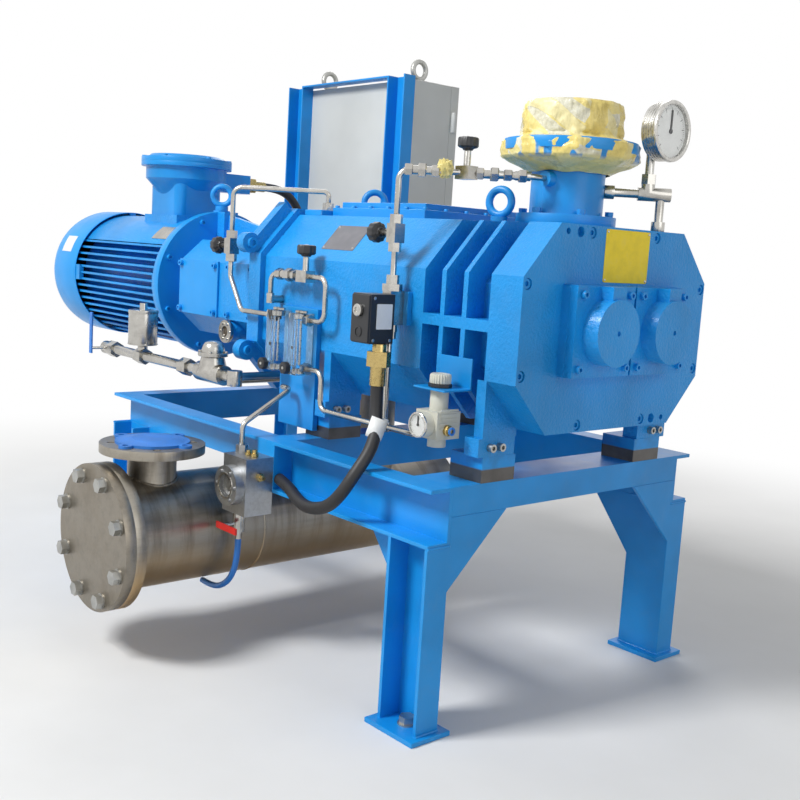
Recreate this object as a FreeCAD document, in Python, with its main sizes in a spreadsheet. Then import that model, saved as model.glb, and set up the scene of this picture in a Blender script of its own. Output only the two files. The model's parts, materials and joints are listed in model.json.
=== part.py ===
import FreeCAD, Part
import Sketcher
import math
import os
from types import SimpleNamespace

# Dry screw vacuum pump on a channel-steel skid, in millimetres.
# The origin is on the floor, at the centre of the four anchor holes of the skid.
# +X runs towards the bearing covers, -Y is the side with the valves, +Z is up.

Vector = FreeCAD.Vector
doc = FreeCAD.newDocument("DryScrewVacuumPump")

SIZES = {
    # Skid frame
    "skid_length": 1272, "skid_width": 825, "skid_height": 490,
    "rail_depth": 113, "rail_flange": 57, "rail_wall": 8,
    "rear_rail_depth": 81, "rail_step": 65, "step_plate": 66,
    "cross_width": 112, "cross_depth": 57, "rear_cross_width": 56,
    "leg_width": 112, "base_plate": 10, "base_length": 140, "base_width": 100,
    "gusset_wall": 8, "gusset_side": 120, "gusset_front": 150, "gusset_drop": 146,
    "anchor_radius": 9, "anchor_inset": 56,
    # Pump housing, an octagon in section
    "housing_width": 577, "housing_base": 590, "housing_tall": 400,
    "chamfer_width": 93, "chamfer_lower": 98, "chamfer_upper": 102,
    "front_face": 709, "cover_wall": 50, "front_flange": 30, "rib_wall": 12,
    "rib_pitch": 61, "rib_depth": 48, "smooth_front": 447, "smooth_rear": -118,
    "mid_web": 22, "mid_web_height": 790,
    "axis_height": 790, "rotor_spacing": 180, "rotor_radius": 112, "root_radius": 64,
    "rotor_clearance": 2, "rotor_start": -56, "rotor_turns": 5,
    "shaft_radius": 26, "bore_clearance": 0.5, "tooth_share": 0.42,
    # End cover details
    "screw_bore": 11, "screw_sink": 12, "head_radius": 9.5, "head_height": 9,
    "hole_row_top": 186, "hole_row_side": 276,
    "hole_side_height": 85, "hole_row_inner": 103, "hole_row_mid": 139,
    "hole_row_outer": 175,
    "bearing_plate": 177, "bearing_plate_wall": 18, 
    "boss_radius": 64, "boss_height": 36, "boss_bore": 5, "oil_boss": 40,
    "cover_screw_radius": 7.5, "cover_screw_height": 9, "cover_screw_inset": 18,
    # Rear plate and gear case
    "rear_plate": 48, "arm_reach": 40, "case_rear": -559, "case_half_width": 262,
    "case_half_height": 125, "case_chamfer_width": 62, "case_chamfer_height": 55,
    "neck_radius": 120, "case_cover_length": 194, "case_cover_height": 144,
    "case_cover_wall": 6,
    # Access cover and small block on top
    "access_length": 325, "access_width": 330, "access_wall": 20, "access_step": 14,
    "access_inset": 16, "access_start": -27, "top_block_length": 66,
    "top_block_width": 60, "top_block_height": 12, "top_block_start": -96,
    "manifold_port": 51,
    # Feet
    "foot_length": 38, "foot_reach": 100, "foot_pad": 36, "foot_web": 24,
    "block_length": 88, "block_width": 92, "block_height": 25, "spacer_height": 26,
    "foot_outer": 298,
    "foot_screw_pitch": 26, "foot_screw_radius": 8, "foot_screw_height": 12,
    # Motor
    "motor_flange_radius": 205, "motor_flange_wall": 32, "motor_face": -630,
    "motor_length": 543, "core_radius": 152, "fin_radius": 185, "fin_wall": 6,
    "fin_pitch": 19.7, "fins_above": 5, "fins_below": 9, "smooth_rise": 104,
    "seat_rise": 190, "seat_margin": 8, "foot_pad_depth": 14, "foot_pad_height": 46,
    "foot_pad_length": 26, "flange_screw_circle": 186, "flange_screws": 8,
    "cowl_radius": 195, "cowl_wall": 3, "cowl_length": 170, "cowl_rounding": 46,
    "grille_bar": 12, "grille_hub": 40, "fan_radius": 170, "fan_disc": 4,
    "fan_hub": 34, "fan_depth": 40, "blade_wall": 5, "fan_gap": 40,
    "post_block": 44, "post_block_depth": 36, "post_block_start": 100,
    # Terminal box
    "box_centre": -850, "box_length": 176, "box_width": 150, "box_shoulder": 1040,
    "box_collar": 1085, "collar_radius": 118, "lid_radius": 132, "lid_flange": 12,
    "box_top": 1132, "lid_wall": 14, "lid_dome": 9, "lid_dome_radius": 114,
    "box_rounding": 26, "lid_screws": 6, "lid_screw_circle": 123,
    "gland_reach": 207,
    # Inlet port
    "inlet_centre": 549, "inlet_bore": 67, "inlet_wall": 8.5, "inlet_base_radius": 104,
    "inlet_base_wall": 22, "inlet_flange_radius": 137, "inlet_flange_wall": 22,
    "inlet_flange_height": 1138, "inlet_bolt_circle": 90, "wrap_radius": 100,
    "wrap_top": 1238, "wrap_skirt": 1112, "wrap_wall": 5, "fit_gap": 0.5,
    # Pieces of the body that only a few features use
    "rotor_end_gap": 4, "bearing_depth": 40, "jack_hole_radius": 10, "dowel_radius": 6,
    "seam_step": 1.5, "plate_corner": 8, "oil_boss_step": 6, "case_screw_inset": 12,
    "plate_lip": 14, "arm_wall": 28, "arm_tip": 24, "arm_screw": 12, "neck_rib_rise": 200,
    "oil_glass_reach": 6, "oil_glass_centre": -307, "oil_glass_height": 688,
    "oil_glass_radius": 26, "oil_ring_radius": 29, "oil_ring_wall": 9,
    "oil_window_radius": 14, "oil_screw_radius": 3,
    "second_plate_start": -322, "second_plate_length": 127, "second_plate_wall": 5,
    "water_port": -90, "water_height": 600, "water_boss_reach": 240,
    "water_boss_length": 50, "water_boss_radius": 18,
    "exhaust_centre": -29, "exhaust_bore": 40, "exhaust_rise": 145,
    "front_foot_start": 598, "rear_foot_start": 118, "block_inset": 14,
    "foot_screw_first": 30, "eye_collar": 18, "eye_collar_height": 12,
    "eye_radius": 26, "eye_wire": 8, "eye_boss": 4, "rear_eye": -72,
    "front_eye": 457, "front_eye_side": 100,
    # Motor, inlet and gauge pipe details
    "cowl_overlap": 22, "grille_pitch": 27, "grille_rings": 4, "cowl_lug": 20,
    "gland_block": 56, "gland_height": 1088, "neck_boss_reach": 14, "neck_boss_side": 15,
    "neck_boss_height": 1080, "neck_boss_radius": 15, "flange_bolt_circle": 120,
    "flange_hole_radius": 9, "wrap_slope": 8, "gauge_pipe_height": 1065, "gauge_back": 678,
    "tee_reach": 164, "elbow_reach": 191, "gauge_pipe_radius": 9, "pipe_socket": 20,
    "pipe_socket_radius": 14, "gauge_nut": 27, "vacuum_gauge_height": 1190,
    "vacuum_gauge_radius": 58, "vacuum_gauge_depth": 36, "dial_sink": 8,
    "gauge_rim": 5, "gauge_stem_radius": 9, "pointer_hub": 5, "pointer_wall": 2,
    "pointer_width": 4, "pointer_gap": 0.5, "pointer_share": 0.72,
    "small_gauge_depth": 24,
    # Silencer tank and its flanges
    "tank_centre": -91, "tank_height": 263, "tank_radius": 125, "tank_wall": 5,
    "tank_flange_radius": 162, "tank_face": -727, "blind_wall": 24, "tank_far": 300,
    "tank_dish": 40, "nozzle_centre": -587, "nozzle_top": 463,
    "nozzle_flange_wall": 20, "nozzle_flange_radius": 116, "pipe_radius": 54,
    "port_flange_radius": 88, "nozzle_bolt_circle": 90, "drain_plug": 14,
    "drain_plug_inset": 60, "cap_radius": 82, "cap_wall": 6, "cap_dome": 5,
    "cap_dome_edge": 74, "cap_crown": 46, "cap_tab": 15, "cap_hole": 7,
    "tank_bolt_circle": 138, "bolt_radius": 14, "washer_wall": 3, "washer_radius": 17,
    "anchor_washer": 19, "small_bolt_radius": 8,
    # Air regulator
    "regulator_x": 554, "regulator_y": -330, "regulator_width": 60,
    # Brackets, flow meters, needle valves and tube runs
    "line_plane": -322, "bracket_stand": 11.5, "bracket_reach": 14, "sheet_wall": 4,
    "meter_plate_start": -21, "meter_plate_length": 136, "meter_plate_low": 504,
    "meter_plate_high": 778, "meter_width": 36, "meter_depth": 44, "meter_base": 630,
    "meter_height": 138, "meter_left": -3, "meter_right": 84, "meter_knob_rise": 16,
    "meter_stem": 6, "meter_stem_radius": 4, "meter_knob_radius": 14,
    "meter_knob_length": 18, "meter_port_inset": 14, "knob_gap": 0.5, "knob_flat": 2,
    "knob_radius": 21, "knob_length": 26, "valve_body": 26, "valve_length": 38,
    "valve_stem": 30, "valve_stem_radius": 7, "needle_x": -217, "needle_height": 905,
    "loop_height": 850, "loop_valve_x": 91, "stack_valve_height": 954,
    "purge_share": 0.5, "fitting_radius": 10, "nut_across": 23, "nut_length": 18,
    "elbow_radius": 9, "elbow_reach_short": 14, "check_start": -14, "check_end": 58,
    "check_nut": 26, "stack_nut": 36, "stack_nut_length": 14,
    "valve_block_x": 388, "valve_block": 26, "valve_block_base": 771,
    "valve_block_height": 68, "valve_block_front": 14,
    "tube_radius": 6, "tube_bend": 22, "feed_start": -163,
    "bridge_height": 1046, "outlet_x": 168, "loop_end_x": -42, "loop_elbow": 790,
    "low_line": 562, "port_run": 34, "coil_length": 56,
    "coil_width": 62, "coil_base": 735, "coil_height": 98, "connector_radius": 14,
    "connector_length": 15, "coil_gland_shift": 24,
    "regulator_plate": 88, "regulator_plate_height": 663, "regulator_plate_rise": 62,
    "regulator_base": 570, "regulator_height": 53, "regulator_neck": 18,
    "regulator_foot": 18, "regulator_port": 597, "small_gauge_radius": 24,
    "regulator_knob_length": 26,
    # Sight block and drain
    "sight_start": 40, "sight_length": 90, "sight_depth": 70, "sight_base": 329,
    "sight_tall": 127, "sight_height": 393, "sight_radius": 44, "sight_flange": 22,
    "sight_window": 24, "sight_screw_circle": 34, "drain_x": 56, "drain_drop": 52,
    "drain_radius": 14, "drain_stem": 32, "drain_lever_height": 296,
    "lever_length": 66, "lever_width": 14, "lever_tail": 14, "hose_barb": 18,
    "hose_radius": 7, "sight_rise": 520, "sight_bridge": 594,
    # Cooling water pipe
    "water_line": 380, "water_start": -728, "water_tee": -544,
    "water_pipe_radius": 13, "water_socket": 18, "water_nut": 38,
    "solenoid_start": -244, "solenoid_length": 110, "solenoid_dome": 38,
    "solenoid_rise": 72, "water_valve_lip": 6, "union_start": -330,
    "water_lever_length": 99, "can_base": 630,
    "can_radius": 38, "can_height": 92,
    # Switch cabinet
    "post_depth": 43, "post_width": 80, "post_height": 1440, "post_wall": 5,
    "post_foot": 100, "cabinet_end": -464, "cabinet_width": 597,
    "cabinet_base": 840, "cabinet_height": 590, "cabinet_depth": 152,
    "cabinet_wall": 3, "rack_depth": 12, "rack_inset": 60, "switch_depth": 60,
    "door_wall": 32, "door_gap": 0.5, "hinge_radius": 8, "hinge_length": 60,
    "hinge_low": 930, "hinge_high": 1290, "handle_inset": 40, "handle_height": 1135,
    "handle_radius": 11, "handle_stand": 16, "handle_length": 90,
    "cabinet_eye_inset": 70,
    # Cables
    "cabinet_gland": -800, "gland_nut": 42, "gland_length": 30, "ferrule_radius": 16,
    "ferrule_length": 38, "conduit_radius": 13,
}

# Corner points of the three cords, each from its gland or barb to its end

MOTOR_ROUTE = [
    (-850, 185, 1088), (-850, 238, 1088), (-848, 291, 1064), (-845, 328, 1012),
    (-841, 343, 940), (-836, 347, 868), (-830, 350, 790), (-824, 353.5, 714),
    (-818, 387.5, 667.5), (-812, 442.5, 649.5), (-806, 497.5, 667.5),
    (-800, 531.5, 714), (-800, 531.5, 772),
]
SIGNAL_ROUTE = [
    (412, -367.5, 652), (412, -367.5, 606), (430, -378, 564), (446, -404, 528),
    (446, -438, 488), (430, -456, 446), (396, -461, 412), (350, -459, 396),
    (300, -450, 390), (248, -434, 394), (192, -412, 402), (135, -398, 407),
]
DRAIN_ROUTE = [
    (56, -447.5, 259), (56, -447.5, 215), (36, -447.5, 165), (-4, -447.5, 132),
    (-50, -447.5, 120), (-90, -447.5, 122),
]


class Size:
    """A number together with the expression that ties it to the spreadsheet."""

    def __init__(self, number, text):
        self.number = number
        self.text = text

    def __add__(self, other):
        other = as_size(other)
        return Size(self.number + other.number, f"({self.text} + {other.text})")

    def __sub__(self, other):
        other = as_size(other)
        return Size(self.number - other.number, f"({self.text} - {other.text})")

    def __mul__(self, other):
        other = as_size(other)
        return Size(self.number * other.number, f"({self.text} * {other.text})")

    def __truediv__(self, other):
        other = as_size(other)
        return Size(self.number / other.number, f"({self.text} / {other.text})")

    def __radd__(self, other):
        return as_size(other) + self

    def __rsub__(self, other):
        return as_size(other) - self

    def __rmul__(self, other):
        return as_size(other) * self

    def __neg__(self):
        return Size(-self.number, f"(0 - {self.text})")


def as_size(value):
    return value if isinstance(value, Size) else Size(float(value), repr(float(value)))


def cosine(angle):
    angle = as_size(angle)
    return Size(math.cos(math.radians(angle.number)), f"cos({angle.text} * 1 deg)")


def sine(angle):
    angle = as_size(angle)
    return Size(math.sin(math.radians(angle.number)), f"sin({angle.text} * 1 deg)")


def make_sheet():
    """Put every driving size in the spreadsheet and hand them back by name."""
    sheet = doc.addObject("Spreadsheet::Sheet", "Sizes")
    for row, (name, number) in enumerate(SIZES.items(), start=1):
        sheet.set(f"A{row}", name)
        sheet.set(f"B{row}", str(number))
        sheet.setAlias(f"B{row}", name)
    doc.recompute()
    return SimpleNamespace(**{
        name: Size(float(number), f"Sizes.{name}") for name, number in SIZES.items()})


d = make_sheet()


def bind(item, name, value):
    """Tie one property of an object to the spreadsheet."""
    item.setExpression(name, as_size(value).text)


def place(item, x=0, y=0, z=0, rotation=None):
    numbers = [as_size(value).number for value in (x, y, z)]
    item.Placement = FreeCAD.Placement(Vector(*numbers), rotation or FreeCAD.Rotation())
    for axis, value in zip("xyz", (x, y, z)):
        bind(item, f"Placement.Base.{axis}", value)


TURN_TO = {
    "X": FreeCAD.Rotation(Vector(0, 1, 0), 90),
    "Y": FreeCAD.Rotation(Vector(1, 0, 0), -90),
    "Z": FreeCAD.Rotation(),
    "-X": FreeCAD.Rotation(Vector(0, 1, 0), -90),
    "-Y": FreeCAD.Rotation(Vector(1, 0, 0), 90),
    "-Z": FreeCAD.Rotation(Vector(1, 0, 0), 180),
}
counter = {"made": 0}


def part_name(stem):
    counter["made"] += 1
    return f"{stem}_{counter['made']}"


def block(x, y, z, length, width, height, stem="Block"):
    item = doc.addObject("Part::Box", part_name(stem))
    place(item, x, y, z)
    bind(item, "Length", length)
    bind(item, "Width", width)
    bind(item, "Height", height)
    return item


def rod(x, y, z, along, radius, length, stem="Rod"):
    item = doc.addObject("Part::Cylinder", part_name(stem))
    place(item, x, y, z, TURN_TO[along])
    bind(item, "Radius", radius)
    bind(item, "Height", length)
    return item


def cone(x, y, z, along, radius, end_radius, length, stem="Cone"):
    item = doc.addObject("Part::Cone", part_name(stem))
    place(item, x, y, z, TURN_TO[along])
    bind(item, "Radius1", radius)
    bind(item, "Radius2", end_radius)
    bind(item, "Height", length)
    return item


def hexagon(x, y, z, along, across, length, stem="Hexagon"):
    item = doc.addObject("Part::Prism", part_name(stem))
    item.Polygon = 6
    place(item, x, y, z, TURN_TO[along])
    bind(item, "Circumradius", across / math.sqrt(3))
    bind(item, "Height", length)
    return item


def fuse(name, pieces):
    item = doc.addObject("Part::MultiFuse", name)
    item.Shapes = pieces
    item.Refine = True
    return item


def cut(name, base, tool):
    item = doc.addObject("Part::Cut", name)
    item.Base = base
    item.Tool = tool
    item.Refine = True
    return item


def group(name, pieces):
    """Separate solids kept as one sub-part."""
    item = doc.addObject("Part::Compound", name)
    item.Links = pieces
    return item


finished = []


def finish(name, item):
    item.Label = name
    finished.append(item)
    return item


def polygon(points):
    """A closed outline whose every corner is tied to the spreadsheet."""
    def draw(sketch):
        corners = [(as_size(x), as_size(y)) for x, y in points]
        first = sketch.GeometryCount
        for here, there in zip(corners, corners[1:] + corners[:1]):
            sketch.addGeometry(Part.LineSegment(
                Vector(here[0].number, here[1].number, 0),
                Vector(there[0].number, there[1].number, 0)))
        total = len(corners)
        for index in range(total):
            following = first + (index + 1) % total
            sketch.addConstraint(
                Sketcher.Constraint("Coincident", first + index, 2, following, 1))
        for index, corner in enumerate(corners):
            pin_point(sketch, first + index, 1, corner)
    return draw


def pin_point(sketch, geometry, position, point):
    for kind, axis, value in zip(("DistanceX", "DistanceY"), (-2, -1), point):
        if abs(value.number) < 1e-9:
            sketch.addConstraint(
                Sketcher.Constraint("PointOnObject", geometry, position, axis))
        else:
            number = sketch.addConstraint(
                Sketcher.Constraint(kind, -1, 1, geometry, position, value.number))
            sketch.setExpression(f"Constraints[{number}]", value.text)


def ring(x, y, radius):
    """A circle whose centre and radius are tied to the spreadsheet."""
    def draw(sketch):
        centre = (as_size(x), as_size(y))
        radius_size = as_size(radius)
        where = Vector(centre[0].number, centre[1].number, 0)
        geometry = sketch.addGeometry(
            Part.Circle(where, Vector(0, 0, 1), radius_size.number))
        pin_point(sketch, geometry, 3, centre)
        number = sketch.addConstraint(
            Sketcher.Constraint("Radius", geometry, radius_size.number))
        sketch.setExpression(f"Constraints[{number}]", radius_size.text)
    return draw


def rectangle(x, y, width, height):
    return polygon([(x, y), (x + width, y), (x + width, y + height), (x, y + height)])


class Piece:
    """One PartDesign body, built up feature by feature."""

    PLANES = {"X": "YZ_Plane", "Y": "XZ_Plane", "Z": "XY_Plane"}

    def __init__(self, name, x=0, y=0, z=0, rotation=None):
        self.name = name
        self.body = doc.addObject("PartDesign::Body", name)
        place(self.body, x, y, z, rotation)

    def origin(self, role):
        return next(item for item in self.body.Origin.OriginFeatures if item.Role == role)

    def sketch(self, across, start, shapes):
        """Draw on the plane across one axis, at a distance along that axis."""
        sketch = self.body.newObject("Sketcher::SketchObject", part_name("Sketch"))
        sketch.AttachmentSupport = [(self.origin(self.PLANES[across]), "")]
        sketch.MapMode = "FlatFace"
        start = as_size(start)
        bind(sketch, "AttachmentOffset.Base.z", -start if across == "Y" else start)
        for draw in shapes:
            draw(sketch)
        return sketch

    def pad(self, across, start, length, *shapes):
        feature = self.body.newObject("PartDesign::Pad", part_name("Pad"))
        feature.Profile = self.sketch(across, start, shapes)
        feature.Reversed = across == "Y"
        bind(feature, "Length", length)
        return feature

    def pocket(self, across, start, length, *shapes):
        feature = self.body.newObject("PartDesign::Pocket", part_name("Pocket"))
        feature.Profile = self.sketch(across, start, shapes)
        feature.Reversed = across != "Y"
        bind(feature, "Length", length)
        return feature

    def turn(self, points, about, groove=False):
        """Revolve a profile drawn in the XZ plane about the X or the Z axis."""
        kind = "PartDesign::Groove" if groove else "PartDesign::Revolution"
        feature = self.body.newObject(kind, part_name("Turned"))
        sketch = self.sketch("Y", 0, [polygon(points)])
        feature.Profile = sketch
        feature.ReferenceAxis = (sketch, ["H_Axis" if about == "X" else "V_Axis"])
        feature.Angle = 360
        return feature

    def polar(self, features, about, count, angle=360):
        feature = self.body.newObject("PartDesign::PolarPattern", part_name("Polar"))
        feature.Originals = features
        feature.Axis = (self.origin(f"{about}_Axis"), [""])
        bind(feature, "Angle", angle)
        bind(feature, "Occurrences", count)
        self.body.Tip = feature
        return feature

    def row(self, features, along, length, count):
        feature = self.body.newObject("PartDesign::LinearPattern", part_name("Row"))
        feature.Originals = features
        feature.Direction = (self.origin(f"{along}_Axis"), [""])
        bind(feature, "Length", length)
        bind(feature, "Occurrences", count)
        self.body.Tip = feature
        return feature

    def mirror(self, features, across):
        feature = self.body.newObject("PartDesign::Mirrored", part_name("Mirrored"))
        feature.Originals = features
        feature.MirrorPlane = (self.origin(self.PLANES[across]), [""])
        self.body.Tip = feature
        return feature

    def round_edges(self, base, radius, wanted):
        """Fillet the edges of the last feature that the test picks."""
        doc.recompute()
        names = [f"Edge{number}" for number, edge in enumerate(base.Shape.Edges, start=1)
                 if wanted(edge)]
        feature = self.body.newObject("PartDesign::Fillet", part_name("Fillet"))
        feature.Base = (base, names)
        bind(feature, "Radius", radius)
        return feature

    def done(self):
        return finish(self.name, self.body)


def runs_along(edge, axis, length):
    """Whether an edge is a straight line along one axis and about that long."""
    if not isinstance(edge.Curve, Part.Line) or abs(edge.Length - length) > 0.01:
        return False
    return abs(abs(edge.tangentAt(edge.FirstParameter).dot(axis)) - 1) < 1e-6


half_length = d.skid_length / 2
half_width = d.skid_width / 2
web_plane = half_width - d.rail_flange


def channel(outer, inner, top, bottom, wall):
    """Section of a channel that opens outwards, with its web on the inner side."""
    return polygon([
        (outer, top), (inner, top), (inner, bottom), (outer, bottom),
        (outer, bottom + wall), (inner + wall_side(outer, wall), bottom + wall),
        (inner + wall_side(outer, wall), top - wall), (outer, top - wall)])


def wall_side(outer, wall):
    return wall if outer.number > 0 else -wall


def side_rail(name, side):
    """One long side of the skid: a deep channel in front, a shallow angle behind."""
    rail = Piece(name)
    outer = side * half_width
    inner = side * web_plane
    wall = side * d.rail_wall
    top = d.skid_height
    rail.pad("X", d.rail_step, half_length - d.rail_step,
             channel(outer, inner, top, top - d.rail_depth, d.rail_wall))
    low = top - d.rear_rail_depth
    rail.pad("X", -half_length, half_length + d.rail_step, polygon([
        (outer, top), (inner, top), (inner, low), (inner + wall, low),
        (inner + wall, top - d.rail_wall), (outer, top - d.rail_wall)]))
    rail.pad("X", d.rail_step, d.step_plate, polygon([
        (outer, top - d.rail_depth), (inner, top - d.rail_depth), (inner, top), (outer, top)]))
    return rail.body


finish("side_rails", group("SideRails", [
    side_rail("NearRail", -1), side_rail("FarRail", 1)]))


def flat_channel(start, width, depth, name):
    """A cross-beam laid with its web on top and its flanges hanging down."""
    beam = Piece(name)
    top = d.skid_height
    low = top - depth
    beam.pad("Y", -web_plane, 2 * web_plane, polygon([
        (start, top), (start + width, top), (start + width, low),
        (start + width - d.rail_wall, low), (start + width - d.rail_wall, top - d.rail_wall),
        (start + d.rail_wall, top - d.rail_wall), (start + d.rail_wall, low), (start, low)]))
    return beam.body


finish("cross_beams", group("CrossBeams", [
    flat_channel(half_length - d.cross_width, d.cross_width, d.cross_depth, "FrontBeam"),
    flat_channel(d.rail_step, d.step_plate, d.rear_rail_depth, "MiddleBeam"),
    flat_channel(-half_length, d.rear_cross_width, d.rear_rail_depth, "RearBeam")]))


def leg(name, end, side, top, beam_bottom):
    """A channel leg with its web inside, two gussets and a base plate."""
    piece = Piece(name)
    outer_x = end * half_length
    inner_x = end * (half_length - d.leg_width)
    wall = end * d.rail_wall
    outer = side * half_width
    web = side * web_plane
    web_wall = side * d.rail_wall
    piece.pad("Z", d.base_plate, top - d.base_plate, polygon([
        (outer_x, outer), (outer_x, web), (inner_x, web), (inner_x, outer),
        (inner_x + wall, outer), (inner_x + wall, web + web_wall),
        (outer_x - wall, web + web_wall), (outer_x - wall, outer)]))
    centre_x = end * (half_length - d.anchor_inset)
    centre_y = side * (half_width - d.rail_flange / 2)
    piece.pad("Z", 0, d.base_plate, rectangle(
        centre_x - d.base_length / 2, centre_y - d.base_width / 2,
        d.base_length, d.base_width))
    piece.pocket("Z", 0, d.base_plate, ring(centre_x, centre_y, d.anchor_radius))
    # The gusset under the cross-beam stands in the plane of the leg's outer flange.
    face = outer_x if end < 0 else outer_x - d.gusset_wall
    piece.pad("X", face, d.gusset_wall, polygon([
        (web, beam_bottom - d.gusset_drop), (web, beam_bottom),
        (web - side * d.gusset_front, beam_bottom)]))
    # The gusset under the rail stands in the plane of the web.
    plane = web if side > 0 else web - d.gusset_wall
    piece.pad("Y", plane, d.gusset_wall, polygon([
        (inner_x, top - d.gusset_drop), (inner_x, top),
        (inner_x - end * d.gusset_side, top)]))
    return piece.body


front_beam = d.skid_height - d.cross_depth
rear_beam = d.skid_height - d.rear_rail_depth
finish("front_legs", group("FrontLegs", [
    leg("FrontLegNear", 1, -1, d.skid_height - d.rail_depth, front_beam),
    leg("FrontLegFar", 1, 1, d.skid_height - d.rail_depth, front_beam)]))
finish("rear_legs", group("RearLegs", [
    leg("RearLegNear", -1, -1, rear_beam, rear_beam),
    leg("RearLegFar", -1, 1, rear_beam, rear_beam)]))


# Pump housing

def octagon(inset):
    """Outline of the pump body, moved inwards all round by an inset."""
    run = inset * (math.sqrt(2) - 1)
    side = d.housing_width / 2 - inset
    flat = d.housing_width / 2 - d.chamfer_width - run
    low = d.housing_base + inset
    high = d.housing_base + d.housing_tall - inset
    lower = d.housing_base + d.chamfer_lower + run
    upper = d.housing_base + d.housing_tall - d.chamfer_upper - run
    return polygon([(-flat, low), (flat, low), (side, lower), (side, upper),
                    (flat, high), (-flat, high), (-side, upper), (-side, lower)])


zero = as_size(0)
cover_rear = d.front_face - d.cover_wall
housing_top = d.housing_base + d.housing_tall
housing_side = d.housing_width / 2
half_spacing = d.rotor_spacing / 2
chamber_radius = d.rotor_radius + d.rotor_clearance
chamber_start = d.rotor_start - d.rotor_end_gap
rotor_end = cover_rear - d.rotor_end_gap
shaft_bore = d.shaft_radius + d.bore_clearance
pad_base = d.skid_height + d.spacer_height + d.block_height
pad_top = pad_base + d.foot_pad

housing = Piece("pump_housing")
housing.pad("X", d.smooth_rear, d.smooth_front - d.smooth_rear, octagon(zero))
housing.pad("X", d.smooth_front, cover_rear - d.smooth_front, octagon(d.rib_depth))
housing.pad("X", cover_rear - d.front_flange, d.front_flange, octagon(zero))
rib = housing.pad("X", d.smooth_front + d.rib_pitch - d.rib_wall, d.rib_wall, octagon(zero))
housing.row([rib], "X", d.rib_pitch, 2)
housing.pad("X", d.smooth_front, cover_rear - d.smooth_front, rectangle(
    -housing_side, d.mid_web_height - d.mid_web / 2, d.housing_width, d.mid_web))


def foot(start):
    """A pair of feet: a web that fills the corner under the chamfer, on a pad."""
    flat = housing_side - d.chamfer_width
    lower = d.housing_base + d.chamfer_lower
    webs = [polygon([(side * housing_side, lower), (side * housing_side, pad_top),
                     (side * flat, pad_top), (side * flat, d.housing_base)])
            for side in (-1, 1)]
    pads = [polygon([(side * d.foot_outer, pad_base), (side * d.foot_outer, pad_top),
                     (side * (d.foot_outer - d.foot_reach), pad_top),
                     (side * (d.foot_outer - d.foot_reach), pad_base)])
            for side in (-1, 1)]
    housing.pad("X", start + d.foot_length - d.foot_web, d.foot_web, *webs)
    housing.pad("X", start, d.foot_length, *pads)


foot(d.front_foot_start)
foot(d.rear_foot_start)
housing.pad("Y", -d.water_boss_reach, d.water_boss_length,
            ring(d.water_port, d.water_height, d.water_boss_radius))
for side in (-1, 1):
    housing.pocket("X", chamber_start, cover_rear - chamber_start,
                   ring(side * half_spacing, d.axis_height, chamber_radius))
housing.pocket("X", d.smooth_rear, chamber_start - d.smooth_rear,
               ring(-half_spacing, d.axis_height, shaft_bore),
               ring(half_spacing, d.axis_height, shaft_bore))
housing.pocket("Z", d.axis_height, housing_top - d.axis_height,
               ring(d.inlet_centre, 0, d.inlet_bore))
housing.pocket("Z", d.housing_base, d.exhaust_rise,
               ring(d.exhaust_centre, 0, d.exhaust_bore))
housing.done()

# Front end cover with its two rows of holes

cover = Piece("end_cover")
cover.pad("X", cover_rear, d.cover_wall, octagon(zero))
side_screws = [(side * d.hole_row_side, d.axis_height + up * d.hole_side_height)
               for side in (-1, 1) for up in (-1, 1)]
row_screws = [(side * d.hole_row_inner, d.axis_height + up * d.hole_row_top)
              for side in (-1, 1) for up in (-1, 1)]
cover_screws = side_screws + row_screws
cover.pocket("X", d.front_face - d.screw_sink, d.screw_sink,
             *[ring(y, z, d.screw_bore) for y, z in cover_screws])
cover.pocket("X", d.front_face - d.screw_sink, d.screw_sink, *[
    ring(side * d.hole_row_mid, d.axis_height - side * d.hole_row_top, d.jack_hole_radius)
    for side in (-1, 1)])
cover.pocket("X", d.front_face - d.screw_sink, d.screw_sink, *[
    ring(side * d.hole_row_outer, d.axis_height - side * d.hole_row_top, d.dowel_radius)
    for side in (-1, 1)])
cover.pocket("X", cover_rear, d.bearing_depth,
             ring(-half_spacing, d.axis_height, shaft_bore),
             ring(half_spacing, d.axis_height, shaft_bore))
cover.done()


def bearing_cover(side):
    """A square two-layer cover with a round cap and a square oil boss on top."""
    piece = Piece("NearCover" if side < 0 else "FarCover",
                  d.front_face, side * half_spacing, d.axis_height)
    half = d.bearing_plate / 2
    inner = half - d.seam_step
    plate = piece.pad("X", 0, d.bearing_plate_wall, rectangle(-half, -half, 2 * half, 2 * half))
    corner_round(piece, plate, d.bearing_plate_wall, d.plate_corner)
    front = d.bearing_plate_wall
    piece.pad("X", front, d.bearing_plate_wall, rectangle(-inner, -inner, 2 * inner, 2 * inner))
    front = 2 * d.bearing_plate_wall
    piece.pad("X", front, d.boss_height, ring(0, 0, d.boss_radius))
    piece.pad("X", front, d.boss_height - d.oil_boss_step, rectangle(
        -d.oil_boss / 2, d.boss_radius / 2, d.oil_boss, inner - d.boss_radius / 2))
    piece.pocket("X", front + d.boss_height - d.boss_bore, d.boss_bore,
                 ring(0, 0, d.boss_bore))
    return piece.body


def corner_round(piece, base, length, radius):
    """Round the straight edges of a plate that run through its thickness."""
    axis = Vector(1, 0, 0)
    return piece.round_edges(
        base, radius, lambda edge: runs_along(edge, axis, length.number))


finish("bearing_covers", group("BearingCovers", [bearing_cover(side) for side in (-1, 1)]))


# Socket-head screws, painted with the castings they hold

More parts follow.
